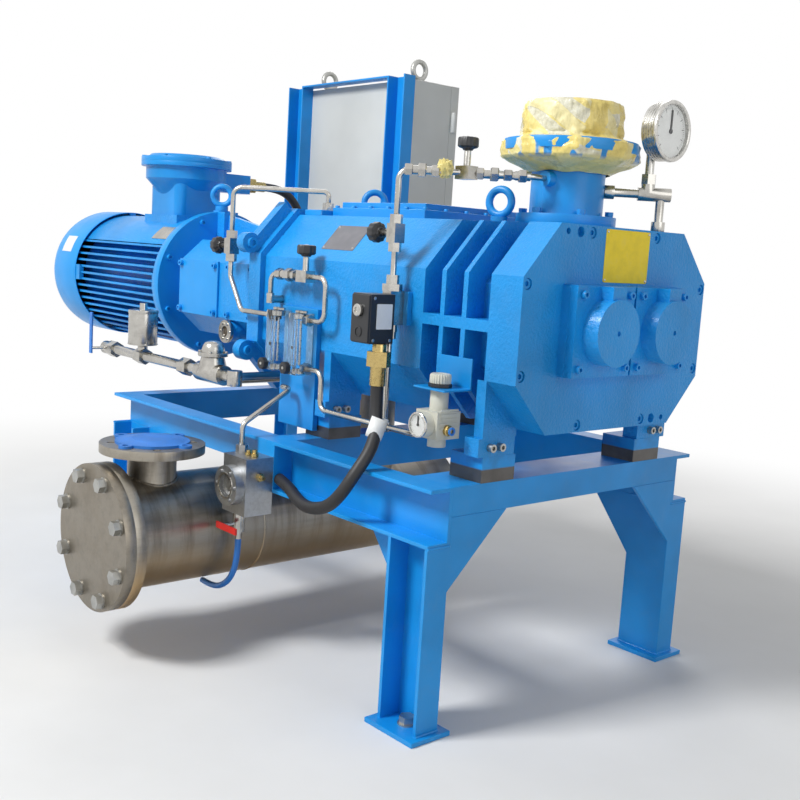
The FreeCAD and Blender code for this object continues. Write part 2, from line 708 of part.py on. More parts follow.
def socket_screw(x, y, z, along, radius, height):
    """A cap screw head with its hexagon socket, seated on the face it clamps."""
    head = rod(x, y, z, along, radius, height, "ScrewHead")
    step = {"X": (1, 0, 0), "-X": (-1, 0, 0), "Y": (0, 1, 0), "-Y": (0, -1, 0)}[along]
    rise = height / 2
    socket = hexagon(x + step[0] * rise, y + step[1] * rise, z + step[2] * rise,
                     along, radius, height, "Socket")
    return cut(part_name("Screw"), head, socket)


screws = [socket_screw(d.front_face - d.screw_sink, y, z, "X", d.head_radius, d.head_height)
          for y, z in cover_screws]
plate_front = d.front_face + 2 * d.bearing_plate_wall
screw_reach = d.bearing_plate / 2 - d.cover_screw_inset
for side in (-1, 1):
    for across in (-1, 1):
        for up in (-1, 1):
            screws.append(socket_screw(
                plate_front, side * half_spacing + across * screw_reach,
                d.axis_height + up * screw_reach, "X",
                d.cover_screw_radius, d.cover_screw_height))
case_cover_end = d.case_rear + d.case_cover_length
case_face = -(d.case_half_width + d.case_cover_wall)
second_face = -(d.case_half_width + d.second_plate_wall)
second_end = d.second_plate_start + d.second_plate_length
for x, face in ((d.case_rear + d.case_screw_inset, case_face),
                (case_cover_end - d.case_screw_inset, case_face),
                (d.second_plate_start + d.case_screw_inset, second_face),
                (second_end - d.case_screw_inset, second_face)):
    for up in (-1, 1):
        screws.append(socket_screw(
            x, face,
            d.axis_height + up * (d.case_cover_height / 2 - d.case_screw_inset),
            "-Y", d.cover_screw_radius, d.cover_screw_height))
arm_face = d.smooth_rear - d.rear_plate + d.arm_wall
reach = d.arm_reach * cosine(45)
upper = housing_top - d.chamfer_upper
lower = d.housing_base + d.chamfer_lower
arm_spots = [(side * (housing_side + reach), height)
             for side in (-1, 1) for height in (upper + reach, lower - reach)]
for y, z in arm_spots:
    screws.append(socket_screw(arm_face, y, z, "X", d.arm_screw, d.cover_screw_height))
for step in range(int(d.flange_screws.number)):
    turn = (as_size(step) + 0.5) * 360 / d.flange_screws
    screws.append(socket_screw(
        d.motor_face, -half_spacing + d.flange_screw_circle * cosine(turn),
        d.axis_height + d.flange_screw_circle * sine(turn), "X",
        d.cover_screw_radius, d.cover_screw_height))
finish("socket_screws", group("SocketScrews", screws))

# Gear case between the pump body and the motor

case = Piece("gear_case")
plate_start = d.smooth_rear - d.rear_plate
case.pad("X", plate_start, d.rear_plate, octagon(-d.plate_lip))
flat = housing_side - d.chamfer_width
arms = []
for side in (-1, 1):
    arms.append(polygon([
        (side * housing_side, upper), (side * flat, housing_top),
        (side * (flat + reach), housing_top + reach),
        (side * (housing_side + reach), upper + reach)]))
    arms.append(polygon([
        (side * housing_side, lower), (side * flat, d.housing_base),
        (side * (flat + reach), d.housing_base - reach),
        (side * (housing_side + reach), lower - reach)]))
case.pad("X", plate_start, d.arm_wall, *arms)
for y, z in arm_spots:
    case.pad("X", plate_start, d.arm_wall, ring(y, z, d.arm_tip))
wide = d.case_half_width
tall = d.case_half_height
wide_flat = wide - d.case_chamfer_width
tall_flat = tall - d.case_chamfer_height
middle = d.axis_height
case.pad("X", d.case_rear, plate_start - d.case_rear, polygon([
    (-wide_flat, middle - tall), (wide_flat, middle - tall), (wide, middle - tall_flat),
    (wide, middle + tall_flat), (wide_flat, middle + tall), (-wide_flat, middle + tall),
    (-wide, middle + tall_flat), (-wide, middle - tall_flat)]))
case.pad("X", d.motor_face, d.case_rear - d.motor_face,
         ring(-half_spacing, middle, d.neck_radius))
case.pad("Y", -half_spacing - d.gusset_wall, 2 * d.gusset_wall, polygon([
    (d.motor_face, middle), (d.motor_face, middle + d.neck_rib_rise),
    (d.motor_face + d.gusset_wall, middle + d.neck_rib_rise),
    (plate_start, middle + tall), (plate_start, middle)]))
case.pad("Y", -wide - d.oil_glass_reach, wide,
         ring(d.oil_glass_centre, d.oil_glass_height, d.oil_glass_radius))
case.pad("Y", -wide - d.second_plate_wall, wide, rectangle(
    d.second_plate_start, middle - d.case_cover_height / 2, d.second_plate_length,
    d.case_cover_height))
case.pad("Z", middle + d.post_block_start, d.motor_flange_radius - d.post_block_start,
         rectangle(d.motor_face, -half_spacing - d.post_block / 2, d.post_block_depth,
                   d.post_block))
case.pocket("X", d.motor_face, d.smooth_rear - d.motor_face,
            ring(-half_spacing, middle, shaft_bore))
case.pocket("X", plate_start, d.rear_plate, ring(half_spacing, middle, shaft_bore))
case.done()

sight_face = -(wide + d.oil_glass_reach)
oil_screw_circle = (d.oil_ring_radius + d.oil_window_radius) / 2
oil_sight = fuse("OilSight", [
    cut("OilRing",
        rod(d.oil_glass_centre, sight_face, d.oil_glass_height, "-Y", d.oil_ring_radius,
            d.oil_ring_wall),
        rod(d.oil_glass_centre, sight_face - d.oil_ring_wall / 2, d.oil_glass_height, "-Y",
            d.oil_window_radius, d.oil_ring_wall))] + [
    rod(d.oil_glass_centre + oil_screw_circle * cosine(60 * step),
        sight_face - d.oil_ring_wall,
        d.oil_glass_height + oil_screw_circle * sine(60 * step), "-Y",
        d.oil_screw_radius, d.oil_screw_radius)
    for step in range(6)])

case_cover = Piece("gear_case_cover")
case_cover.pad("Y", case_face, d.case_cover_wall, rectangle(
    d.case_rear, middle - d.case_cover_height / 2, d.case_cover_length, d.case_cover_height))
case_cover.done()

# Covers on top of the body

access = Piece("access_cover")
access.pad("Z", housing_top, d.access_wall, rectangle(
    d.access_start, -d.access_width / 2, d.access_length, d.access_width))
access.pad("Z", housing_top + d.access_wall, d.access_step, rectangle(
    d.access_start + d.access_inset, -d.access_width / 2 + d.access_inset,
    d.access_length - 2 * d.access_inset, d.access_width - 2 * d.access_inset))
access.done()

top_block = Piece("Manifold")
top_block.pad("Z", housing_top, d.top_block_height, rectangle(
    d.top_block_start, -flat, d.top_block_length, d.top_block_width))


# Lifting eyes

def eye_bolt(x, y, z, angle):
    collar = rod(x, y, z, "Z", d.eye_collar, d.eye_collar_height, "EyeCollar")
    loop = doc.addObject("Part::Torus", part_name("EyeLoop"))
    turn_up = FreeCAD.Rotation(Vector(0, 0, 1), angle) * TURN_TO["X"]
    rise = d.eye_collar_height + d.eye_radius + d.eye_wire / 2
    place(loop, x, y, z + rise, turn_up)
    bind(loop, "Radius1", d.eye_radius)
    bind(loop, "Radius2", d.eye_wire)
    return fuse(part_name("Eye"), [collar, loop])


eyes = [
    eye_bolt(d.rear_eye, 0, housing_top, -35),
    eye_bolt(d.front_eye, -d.front_eye_side, housing_top, -75),
    eye_bolt(d.motor_face - d.motor_flange_wall / 2, -half_spacing,
             d.axis_height + d.motor_flange_radius + d.eye_boss, -40)]

# Blocks that stand between the feet and the skid

blocks = []
for start in (d.front_foot_start + d.foot_length, d.rear_foot_start + d.foot_length):
    for side in (-1, 1):
        outer = d.foot_outer - d.block_inset
        y = -outer if side < 0 else outer - d.block_width
        blocks.append(block(start - d.block_length, y, d.skid_height,
                            d.block_length, d.block_width, d.spacer_height, "Spacer"))
        blocks.append(block(start - d.block_length, y, d.skid_height + d.spacer_height,
                            d.block_length, d.block_width, d.block_height, "FootBlock"))
finish("foot_blocks", group("FootBlocks", blocks))

foot_screws = []
for start in (d.front_foot_start + d.foot_length, d.rear_foot_start + d.foot_length):
    for side in (-1, 1):
        for shift in (d.foot_screw_first, d.foot_screw_first + d.foot_screw_pitch):
            foot_screws.append(socket_screw(
                start, side * (d.foot_outer - shift), (pad_base + pad_top) / 2, "X",
                d.foot_screw_radius, d.foot_screw_height))


# Screw rotors

def screw_thread(start, hand):
    """A helical thread from stacked sections, each turned a little past the last."""
    steps = 12
    corners = 6
    share = d.tooth_share.number * 2 * math.pi
    outer = d.rotor_radius.number
    inner = d.root_radius.number
    section = [(outer, share * (k / (corners - 1) - 0.5)) for k in range(corners)]
    rest = 2 * math.pi - share
    section += [(inner, share / 2 + rest * k / (corners - 1)) for k in range(corners)]
    levels = int(steps * d.rotor_turns.number)
    height = (rotor_end.number - start) / levels

    def level(number):
        turn = hand * 2 * math.pi * number / steps
        x = start + height * number
        return [Vector(x, radius * math.cos(angle + turn), radius * math.sin(angle + turn))
                for radius, angle in section]

    rings = [level(number) for number in range(levels + 1)]
    faces = [flat_face(rings[0]), flat_face(rings[-1])]
    for lower_ring, upper_ring in zip(rings, rings[1:]):
        for index in range(len(section)):
            following = (index + 1) % len(section)
            a, b = lower_ring[index], lower_ring[following]
            c, e = upper_ring[following], upper_ring[index]
            diagonal = ((a, b, e), (b, c, e)) if hand > 0 else ((a, b, c), (a, c, e))
            faces += [flat_face(corner) for corner in diagonal]
    shell = Part.Shell(faces)
    solid = Part.Solid(shell)
    return solid if solid.Volume > 0 else solid.reversed()


def flat_face(points):
    return Part.Face(Part.makePolygon(list(points) + [points[0]]))


def rotor(name, side, hand, shaft_start, phase):
    """One screw rotor with its shaft; the pair has opposite hands."""
    item = doc.addObject("Part::Feature", name)
    thread = screw_thread(d.rotor_start.number, hand)
    thread.rotate(Vector(), Vector(1, 0, 0), phase)
    front = cover_rear.number + d.bearing_depth.number - d.rotor_end_gap.number
    back = Part.makeCylinder(
        d.shaft_radius.number, d.rotor_start.number - shaft_start.number,
        Vector(shaft_start.number, 0, 0), Vector(1, 0, 0))
    ahead = Part.makeCylinder(
        d.shaft_radius.number, front - rotor_end.number,
        Vector(rotor_end.number, 0, 0), Vector(1, 0, 0))
    item.Shape = thread.fuse([back, ahead])
    place(item, 0, side * half_spacing, d.axis_height)
    return finish(name, item)


fan_face = d.motor_face - d.motor_flange_wall - d.motor_length - d.fan_gap
rotor("drive_rotor", -1, 1, fan_face - d.fan_depth, 0)
rotor("driven_rotor", 1, -1, plate_start + d.rotor_end_gap, 0)


# Shapes for pipework

def distance(start, end):
    steps = [as_size(b) - as_size(a) for a, b in zip(start, end)]
    number = math.sqrt(sum(step.number ** 2 for step in steps))
    return Size(number, "sqrt(" + " + ".join(f"{step.text}^2" for step in steps) + ")")


def strut(start, end, radius, stem="Strut"):
    """A round bar from one point to another."""
    item = doc.addObject("Part::Cylinder", part_name(stem))
    numbers = [[as_size(value).number for value in point] for point in (start, end)]
    direction = Vector(*numbers[1]) - Vector(*numbers[0])
    place(item, *start, FreeCAD.Rotation(Vector(0, 0, 1), direction))
    bind(item, "Radius", radius)
    bind(item, "Height", distance(start, end))
    return item


BEND_SHARE = 0.45


def sweep(points, radius, bend_at, stem):
    """A round tube of straight runs joined by tangent arcs, and its bend radii."""
    corners = [Vector(*[as_size(value).number for value in point]) for point in points]
    edges = []
    radii = []
    here = corners[0]
    for before, corner, after in zip(corners, corners[1:], corners[2:]):
        arriving = (corner - before).normalize()
        leaving = (after - corner).normalize()
        half_turn = arriving.getAngle(leaving) / 2
        shorter = min((corner - before).Length, (after - corner).Length)
        trim = min(bend_at * math.tan(half_turn), BEND_SHARE * shorter)
        arc_start = corner - arriving * trim
        arc_end = corner + leaving * trim
        inward = (leaving - arriving).normalize()
        radius_here = trim / math.tan(half_turn)
        radii.append(round(radius_here))
        middle = corner + inward * (radius_here / math.cos(half_turn) - radius_here)
        edges.append(Part.makeLine(here, arc_start))
        edges.append(Part.Arc(arc_start, middle, arc_end).toShape())
        here = arc_end
    edges.append(Part.makeLine(here, corners[-1]))
    wire = Part.Wire(edges)
    first = (corners[1] - corners[0]).normalize()
    profile = Part.Wire(Part.makeCircle(as_size(radius).number, corners[0], first))
    item = doc.addObject("Part::Feature", part_name(stem))
    item.Shape = wire.makePipeShell([profile], True, False)
    return item, radii


def tube(points, radius, bend):
    """Stiff tube, bent to one radius wherever its runs leave room for it."""
    item, radii = sweep(points, radius, as_size(bend).number, "Tube")
    return item


def cord(name, points, radius):
    """A flexible line whose bends are as wide as its runs allow."""
    item, radii = sweep(points, radius, math.inf, "Cord")
    print(f"{name} bend radii in mm: {radii}")
    return finish(name, item)


def chord(radius, rise):
    """Half the width of a circle at a height above its centre."""
    number = math.sqrt(radius.number ** 2 - rise.number ** 2)
    return Size(number, f"sqrt({radius.text}^2 - {rise.text}^2)")


def nut(x, y, z, along, across, length):
    return hexagon(x, y, z, along, across, length, "Nut")


# Motor

motor_start = d.motor_face - d.motor_flange_wall
motor_y = -half_spacing
motor_bore = shaft_bore

flange = Piece("motor_flange", motor_start, motor_y, d.axis_height)
flange.pad("X", 0, d.motor_flange_wall, ring(0, 0, d.motor_flange_radius),
           ring(0, 0, motor_bore))
flange.pad("Z", d.core_radius, d.motor_flange_radius + d.eye_boss - d.core_radius,
           rectangle(0, -d.eye_collar, d.motor_flange_wall, 2 * d.eye_collar))
flange.done()

frame = Piece("motor_frame", motor_start, motor_y, d.axis_height)
frame.pad("X", -d.motor_length, d.motor_length, ring(0, 0, d.fin_radius))
frame.pocket("X", -d.motor_length, d.motor_length, rectangle(
    -d.cowl_radius, -d.cowl_radius, 2 * d.cowl_radius, d.cowl_radius + d.smooth_rise))
frame.pad("X", -d.motor_length, d.motor_length, ring(0, 0, d.core_radius))
fins = []
for number in range(-int(d.fins_below.number), int(d.fins_above.number) + 1):
    rise = d.fin_pitch * number
    half = chord(d.fin_radius, rise)
    fins.append(rectangle(-half, rise - d.fin_wall / 2, 2 * half, d.fin_wall))
frame.pad("X", -d.motor_length, d.motor_length, *fins)
box_from_frame = d.box_centre - motor_start
seat_length = d.box_length + 2 * d.seat_margin
seat_width = d.box_width + 2 * d.seat_margin
frame.pad("Z", d.smooth_rise, d.seat_rise - d.smooth_rise, rectangle(
    box_from_frame - seat_length / 2, -seat_width / 2, seat_length, seat_width))
for start in (-d.foot_pad_length, -d.motor_length + d.cowl_overlap):
    frame.pad("X", start, d.foot_pad_length, *[rectangle(
        side * d.fin_radius - d.foot_pad_depth / 2, -d.foot_pad_height / 2,
        d.foot_pad_depth, d.foot_pad_height) for side in (-1, 1)])
frame.pocket("X", -d.motor_length, d.motor_length, ring(0, 0, motor_bore))
frame.done()


def rounded_corner(x, radius, rounding, steps=4):
    """Points on a quarter round between a cylinder and its rear face."""
    turns = [as_size(90) / steps * step for step in range(steps + 1)]
    return [(x + rounding - rounding * sine(turn), radius - rounding + rounding * cosine(turn))
            for turn in turns]


cowl_start = motor_start - d.motor_length
cowl_end = -d.cowl_length
cowl = Piece("fan_cowl", cowl_start, motor_y, d.axis_height)
outer_line = rounded_corner(cowl_end, d.cowl_radius, d.cowl_rounding)
inner_line = rounded_corner(cowl_end + d.cowl_wall, d.cowl_radius - d.cowl_wall,
                            d.cowl_rounding - d.cowl_wall)
centre_gap = d.grille_hub / 4
cowl.turn([(d.cowl_overlap, d.cowl_radius)] + outer_line + [(cowl_end, centre_gap)]
          + [(cowl_end + d.cowl_wall, centre_gap)] + inner_line[::-1]
          + [(d.cowl_overlap, d.cowl_radius - d.cowl_wall)], "X")
slots = []
for step in range(int(d.grille_rings.number)):
    inner = d.grille_hub + step * d.grille_pitch
    slots += [ring(0, 0, inner), ring(0, 0, inner + d.grille_pitch - d.grille_bar)]
cowl.pocket("X", cowl_end, d.cowl_wall, *slots)
bar = cowl.pad("X", cowl_end, d.cowl_wall, rectangle(
    d.grille_hub - d.grille_bar, -d.grille_bar / 2,
    d.grille_rings * d.grille_pitch, d.grille_bar))
cowl.polar([bar], "X", 6)
lug = cowl.pad("X", d.cowl_overlap - d.cowl_lug, d.cowl_lug, rectangle(
    d.fin_radius + d.fit_gap, -d.cowl_lug / 2,
    d.cowl_radius - d.fin_radius - d.fit_gap - d.cowl_wall / 2, d.cowl_lug))
cowl.polar([lug], "X", 4)
cowl.done()

fan = Piece("cooling_fan", cowl_start - d.fan_gap, motor_y, d.axis_height)
fan.pad("X", -d.fan_depth, d.fan_depth, ring(0, 0, d.fan_hub), ring(0, 0, motor_bore))
blade = fan.pad("X", -d.fan_depth, d.fan_depth, rectangle(
    d.fan_hub - d.blade_wall, -d.blade_wall / 2,
    d.fan_radius - d.fan_hub, d.blade_wall))
fan.polar([blade], "X", 8)
fan.pad("X", -d.fan_depth, d.fan_disc, ring(0, 0, d.fan_radius), ring(0, 0, motor_bore))
fan.done()

box_y = motor_y
box_floor = d.axis_height + d.seat_rise
terminal = Piece("terminal_box", d.box_centre, box_y)
vertical = Vector(0, 0, 1)
box_body = terminal.pad("Z", box_floor, d.box_collar - box_floor, rectangle(
    -d.box_length / 2, -d.box_width / 2, d.box_length, d.box_width))
terminal.round_edges(box_body, d.box_rounding, lambda edge: runs_along(
    edge, vertical, (d.box_collar - box_floor).number))
terminal.turn([
    (0, d.box_shoulder), (d.box_width / 2, d.box_shoulder), (d.collar_radius, d.box_collar),
    (d.collar_radius, d.box_top - d.lid_flange), (d.lid_radius, d.box_top - d.lid_flange),
    (d.lid_radius, d.box_top), (0, d.box_top)], "Z")
terminal.pad("Y", d.box_width / 2 - d.box_rounding,
             d.gland_reach - d.box_width / 2 + d.box_rounding, rectangle(
                 -d.gland_block / 2, d.gland_height - d.gland_block / 2,
                 d.gland_block, d.gland_block))
terminal.done()
lid = Piece("terminal_lid", d.box_centre, box_y)
lid.turn([
    (0, d.box_top), (d.lid_radius, d.box_top), (d.lid_radius, d.box_top + d.lid_wall),
    (d.lid_dome_radius, d.box_top + d.lid_wall),
    (d.lid_dome_radius - d.lid_dome, d.box_top + d.lid_wall + d.lid_dome),
    (0, d.box_top + d.lid_wall + d.lid_dome)], "Z")
lid_screw = lid.pad("Z", d.box_top + d.lid_wall, d.lid_dome / 2,
                    ring(d.lid_screw_circle, 0, d.cover_screw_radius))
lid.polar([lid_screw], "Z", d.lid_screws)
lid.done()

# Inlet port with its wrapped flange

neck_radius = d.inlet_bore + d.inlet_wall
base_top = housing_top + d.inlet_base_wall
flange_top = d.inlet_flange_height + d.inlet_flange_wall
inlet = Piece("inlet_port", d.inlet_centre)
inlet.turn([
    (d.inlet_bore, housing_top), (d.inlet_base_radius, housing_top),
    (d.inlet_base_radius, base_top), (neck_radius, base_top),
    (neck_radius, d.inlet_flange_height), (d.inlet_flange_radius, d.inlet_flange_height),
    (d.inlet_flange_radius, flange_top), (d.inlet_bore, flange_top)], "Z")
inlet.pad("Y", -neck_radius - d.neck_boss_reach, d.neck_boss_reach + d.inlet_wall,
          ring(d.neck_boss_side, d.neck_boss_height, d.neck_boss_radius))
hole = inlet.pocket("Z", d.inlet_flange_height, d.inlet_flange_wall,
                    ring(d.flange_bolt_circle, 0, d.flange_hole_radius))
inlet.polar([hole], "Z", 8)
inlet.done()

wrap = Piece("inlet_wrap", d.inlet_centre)
wrap_inner = d.inlet_flange_radius + d.fit_gap
wrap_outer = wrap_inner + d.wrap_wall
wrap.turn([
    (0, flange_top), (wrap_inner, flange_top), (wrap_inner, d.wrap_skirt),
    (wrap_outer, d.wrap_skirt), (wrap_outer, flange_top + d.wrap_wall),
    (d.wrap_radius + d.wrap_slope, flange_top + 3 * d.wrap_wall),
    (d.wrap_radius, d.wrap_top - d.wrap_slope), (d.wrap_radius - d.wrap_slope, d.wrap_top),
    (0, d.wrap_top)], "Z")
wrap.done()

# Vacuum gauge on a side pipe from the inlet neck

diagonal = cosine(45)


def beside_inlet(reach, z):
    """A point out from the inlet neck, half way between +X and +Y."""
    return (d.inlet_centre + reach * diagonal, reach * diagonal, as_size(z))


neck_point = beside_inlet(neck_radius - d.inlet_wall / 2, d.gauge_pipe_height)
tee = beside_inlet(d.tee_reach, d.gauge_pipe_height)
corner = beside_inlet(d.elbow_reach, d.gauge_pipe_height)
ground = beside_inlet(d.elbow_reach, housing_top)
gauge_y = tee[1]
gauge_pipework = fuse("GaugePipework", [
    strut(neck_point, corner, d.gauge_pipe_radius),
    strut(ground, corner, d.gauge_pipe_radius),
    strut(beside_inlet(neck_radius, d.gauge_pipe_height),
          beside_inlet(neck_radius + d.pipe_socket, d.gauge_pipe_height),
          d.pipe_socket_radius),
    strut(beside_inlet(d.tee_reach - d.pipe_socket, d.gauge_pipe_height),
          beside_inlet(d.elbow_reach + d.pipe_socket, d.gauge_pipe_height),
          d.pipe_socket_radius),
    rod(corner[0], corner[1], housing_top, "Z", d.pipe_socket_radius, d.pipe_socket),
    rod(tee[0], tee[1], tee[2], "Z", d.pipe_socket_radius, d.pipe_socket),
    nut(tee[0], tee[1], tee[2] + d.pipe_socket, "Z", d.gauge_nut, d.pipe_socket)])
finish("gauge_pipe", cut("GaugePipe", gauge_pipework, rod(
    d.inlet_centre, 0, base_top, "Z", neck_radius, d.inlet_flange_height - base_top)))


vacuum_face = d.gauge_back + d.vacuum_gauge_depth
finish("vacuum_gauge", fuse("VacuumGauge", [
    cut("GaugeCase",
        rod(d.gauge_back, gauge_y, d.vacuum_gauge_height, "X", d.vacuum_gauge_radius,
            d.vacuum_gauge_depth),
        rod(vacuum_face - d.dial_sink, gauge_y, d.vacuum_gauge_height, "X",
            d.vacuum_gauge_radius - d.gauge_rim, d.dial_sink)),
    rod(tee[0], gauge_y, tee[2] + 2 * d.pipe_socket, "Z", d.gauge_stem_radius,
        d.vacuum_gauge_height - tee[2] - 2 * d.pipe_socket + d.gauge_stem_radius),
    rod(tee[0], gauge_y, d.vacuum_gauge_height, "X", d.gauge_stem_radius,
        d.gauge_back - tee[0])]))
regulator_face = d.regulator_y - d.regulator_width / 2 - d.small_gauge_depth


def pointer_x(name, x, y, z, length):
    """A pointer on a dial that faces +X, standing off from the dial face."""
    hub = rod(x, y, z, "X", d.pointer_hub, d.pointer_wall)
    hand = block(x, y - d.pointer_width / 2, z, d.pointer_wall, d.pointer_width, length)
    return finish(name, fuse(part_name("Pointer"), [hub, hand]))


pointer_x("vacuum_pointer", vacuum_face - d.dial_sink + d.pointer_gap, gauge_y,
          d.vacuum_gauge_height, d.vacuum_gauge_radius * d.pointer_share)

# Silencer tank across the skid, with its nozzle and exhaust pipe

tank_turn = FreeCAD.Rotation(Vector(0, 0, 1), -90)
blind_inner = -d.tank_face - d.blind_wall
tank = Piece("silencer_tank", d.tank_centre, 0, d.tank_height, tank_turn)
inner = d.tank_radius - d.tank_wall
near_end = blind_inner
tank.turn([
    (near_end, d.tank_flange_radius), (near_end - d.blind_wall, d.tank_flange_radius),
    (near_end - d.blind_wall, d.tank_radius), (-d.tank_far + d.tank_dish, d.tank_radius),
    (-d.tank_far, d.tank_radius / 2), (-d.tank_far, 0), (-d.tank_far + d.tank_wall, 0),
    (-d.tank_far + d.tank_wall, d.tank_radius / 2),
    (-d.tank_far + d.tank_dish + d.tank_wall, inner), (near_end, inner)], "X")
nozzle_x = -d.nozzle_centre
exhaust_side = d.exhaust_centre - d.tank_centre
port_flange_base = d.housing_base - d.blind_wall
tank.pad("Z", d.tank_radius - d.tank_dish, d.nozzle_top - d.tank_height - d.tank_radius
         + d.tank_dish, ring(nozzle_x, 0, d.pipe_radius))
tank.pad("Z", d.nozzle_top - d.nozzle_flange_wall - d.tank_height, d.nozzle_flange_wall,
         ring(nozzle_x, 0, d.nozzle_flange_radius))
tank.pad("Z", d.tank_radius - d.tank_dish, d.housing_base - d.tank_height - d.tank_radius
         + d.tank_dish, ring(0, exhaust_side, d.pipe_radius))
tank.pad("Z", port_flange_base - d.tank_height, d.blind_wall,
         ring(0, exhaust_side, d.port_flange_radius))
bore_radius = d.pipe_radius - d.tank_wall
tank.pocket("Z", 0, d.housing_base - d.tank_height,
            ring(nozzle_x, 0, bore_radius), ring(0, exhaust_side, bore_radius))
nozzle_hole = tank.pocket(
    "Z", d.nozzle_top - d.nozzle_flange_wall - d.tank_height, d.nozzle_flange_wall,
    *[ring(nozzle_x + d.nozzle_bolt_circle * cosine(22.5 + 45 * step),
           d.nozzle_bolt_circle * sine(22.5 + 45 * step), d.flange_hole_radius)
      for step in range(8)])
tank.pad("Z", -d.tank_radius - d.drain_plug, d.drain_plug + d.tank_wall,
         ring(near_end - d.drain_plug_inset, 0, d.drain_plug))
tank.done()

blind = Piece("tank_blind_flange", d.tank_centre, 0, d.tank_height, tank_turn)
blind.pad("X", near_end, d.blind_wall, ring(0, 0, d.tank_flange_radius))
blind.done()

cap = Piece("nozzle_cap", d.tank_centre, d.nozzle_centre)
cap_top = d.nozzle_top + d.cap_wall
cap.turn([
    (0, d.nozzle_top), (d.cap_radius, d.nozzle_top), (d.cap_radius, cap_top),
    (d.cap_dome_edge, cap_top), (d.cap_crown, cap_top + d.cap_dome),
    (0, cap_top + d.cap_dome)], "Z")
ear = cap.pad("Z", d.nozzle_top, d.cap_wall,
              ring(d.nozzle_bolt_circle * cosine(22.5), d.nozzle_bolt_circle * sine(22.5),
                   d.cap_tab))
ear_hole = cap.pocket("Z", d.nozzle_top, d.cap_wall,
                      ring(d.nozzle_bolt_circle * cosine(22.5),
                           d.nozzle_bolt_circle * sine(22.5), d.cap_hole))
cap.polar([ear, ear_hole], "Z", 4)
cap.done()


# Bolts and anchors

def bolt(x, y, z, along, radius, washer_radius):
    """A hexagon head on a washer, seated on the face it clamps."""
    step = {"Z": (0, 0, 1), "-Y": (0, -1, 0), "-Z": (0, 0, -1)}[along]
    washer = rod(x, y, z, along, washer_radius, d.washer_wall, "Washer")
    head = nut(x + step[0] * d.washer_wall, y + step[1] * d.washer_wall,
               z + step[2] * d.washer_wall, along, 2 * radius, radius)
    return fuse(part_name("Bolt"), [washer, head])


bolts = []
for step in range(8):
    turn = 22.5 + 45 * step
    bolts.append(bolt(
        d.tank_centre + d.tank_bolt_circle * cosine(turn), d.tank_face,
        d.tank_height + d.tank_bolt_circle * sine(turn), "-Y",
        d.bolt_radius, d.washer_radius))
for end in (-1, 1):
    for side in (-1, 1):
        bolts.append(bolt(
            end * (half_length - d.anchor_inset),
            side * (half_width - d.rail_flange / 2), d.base_plate, "Z",
            d.bolt_radius, d.anchor_washer))
for step in range(6):
    turn = 30 + 60 * step
    bolts.append(bolt(
        d.inlet_centre + d.inlet_bolt_circle * cosine(turn),
        d.inlet_bolt_circle * sine(turn), base_top, "Z",
        d.small_bolt_radius, d.small_bolt_radius))
finish("bright_fasteners", group("BrightFasteners", bolts + foot_screws))

# Brackets that carry the instruments

line_y = d.line_plane
bracket_back = -housing_side
bracket_face = bracket_back - d.bracket_stand
plate_left = d.meter_plate_start
finish("instrument_brackets", group("InstrumentBrackets", [
    fuse("MeterBracket", [
        block(plate_left, bracket_face, d.meter_plate_low, d.meter_plate_length,
              d.bracket_stand, d.meter_plate_high - d.meter_plate_low),
        block(plate_left + d.meter_plate_length - d.sheet_wall, bracket_face,
              d.meter_plate_low, d.sheet_wall, d.bracket_reach,
              d.housing_base - d.meter_plate_low)]),
    block(d.valve_block_x - d.valve_block / 2 - d.sheet_wall, bracket_face,
          d.valve_block_base, d.valve_block + 4 * d.sheet_wall, d.bracket_stand,
          d.valve_block_height),
    fuse("RegulatorBracket", [
        block(d.regulator_x - d.regulator_plate / 2, d.regulator_y - d.regulator_width / 2,
              d.regulator_plate_height, d.regulator_plate,
              bracket_back - d.regulator_y + d.regulator_width / 2, d.sheet_wall),
        block(d.regulator_x - d.regulator_plate / 2, bracket_back - d.sheet_wall,
              d.regulator_plate_height, d.regulator_plate, d.sheet_wall,
              d.regulator_plate_rise)])]))


# Flow meters with their needle knobs

def flow_meter(x):
    body = block(x - d.meter_width / 2, bracket_face - d.meter_depth, d.meter_base,
                 d.meter_width, d.meter_depth, d.meter_height)
    knob_stem = rod(x, bracket_face - d.meter_depth, d.meter_base + d.meter_knob_rise, "-Y",
                    d.meter_stem_radius, d.meter_stem)
    return fuse(part_name("Meter"), [body, knob_stem])


meter_spots = {"left": d.meter_left, "right": d.meter_right}
finish("flow_meters", group("FlowMeters", [flow_meter(x) for x in meter_spots.values()]))


def knob(name, x, y, z, along, radius, length):
    """A hand knob with flats that catch the fingers."""
    body = rod(x, y, z, along, radius, length)
    grip = hexagon(x, y, z, along, 2 * radius - d.knob_flat, length)
    step = {"X": (1, 0, 0), "-X": (-1, 0, 0), "-Y": (0, -1, 0), "Z": (0, 0, 1)}[along]
    common = doc.addObject("Part::MultiCommon", part_name("KnobGrip"))
    common.Shapes = [body, grip]
    half = length / 2
    neck = rod(x + step[0] * half, y + step[1] * half, z + step[2] * half, along,
               radius, half)
    return finish(name, fuse(part_name("Knob"), [common, neck]))


for side_name, x in meter_spots.items():
    knob(f"meter_knob_{side_name}", x, bracket_face - d.meter_depth - d.meter_stem - d.knob_gap,
         d.meter_base + d.meter_knob_rise, "-Y", d.meter_knob_radius, d.meter_knob_length)

# Needle valves: where each stands, the way its tube runs and the way its knob points

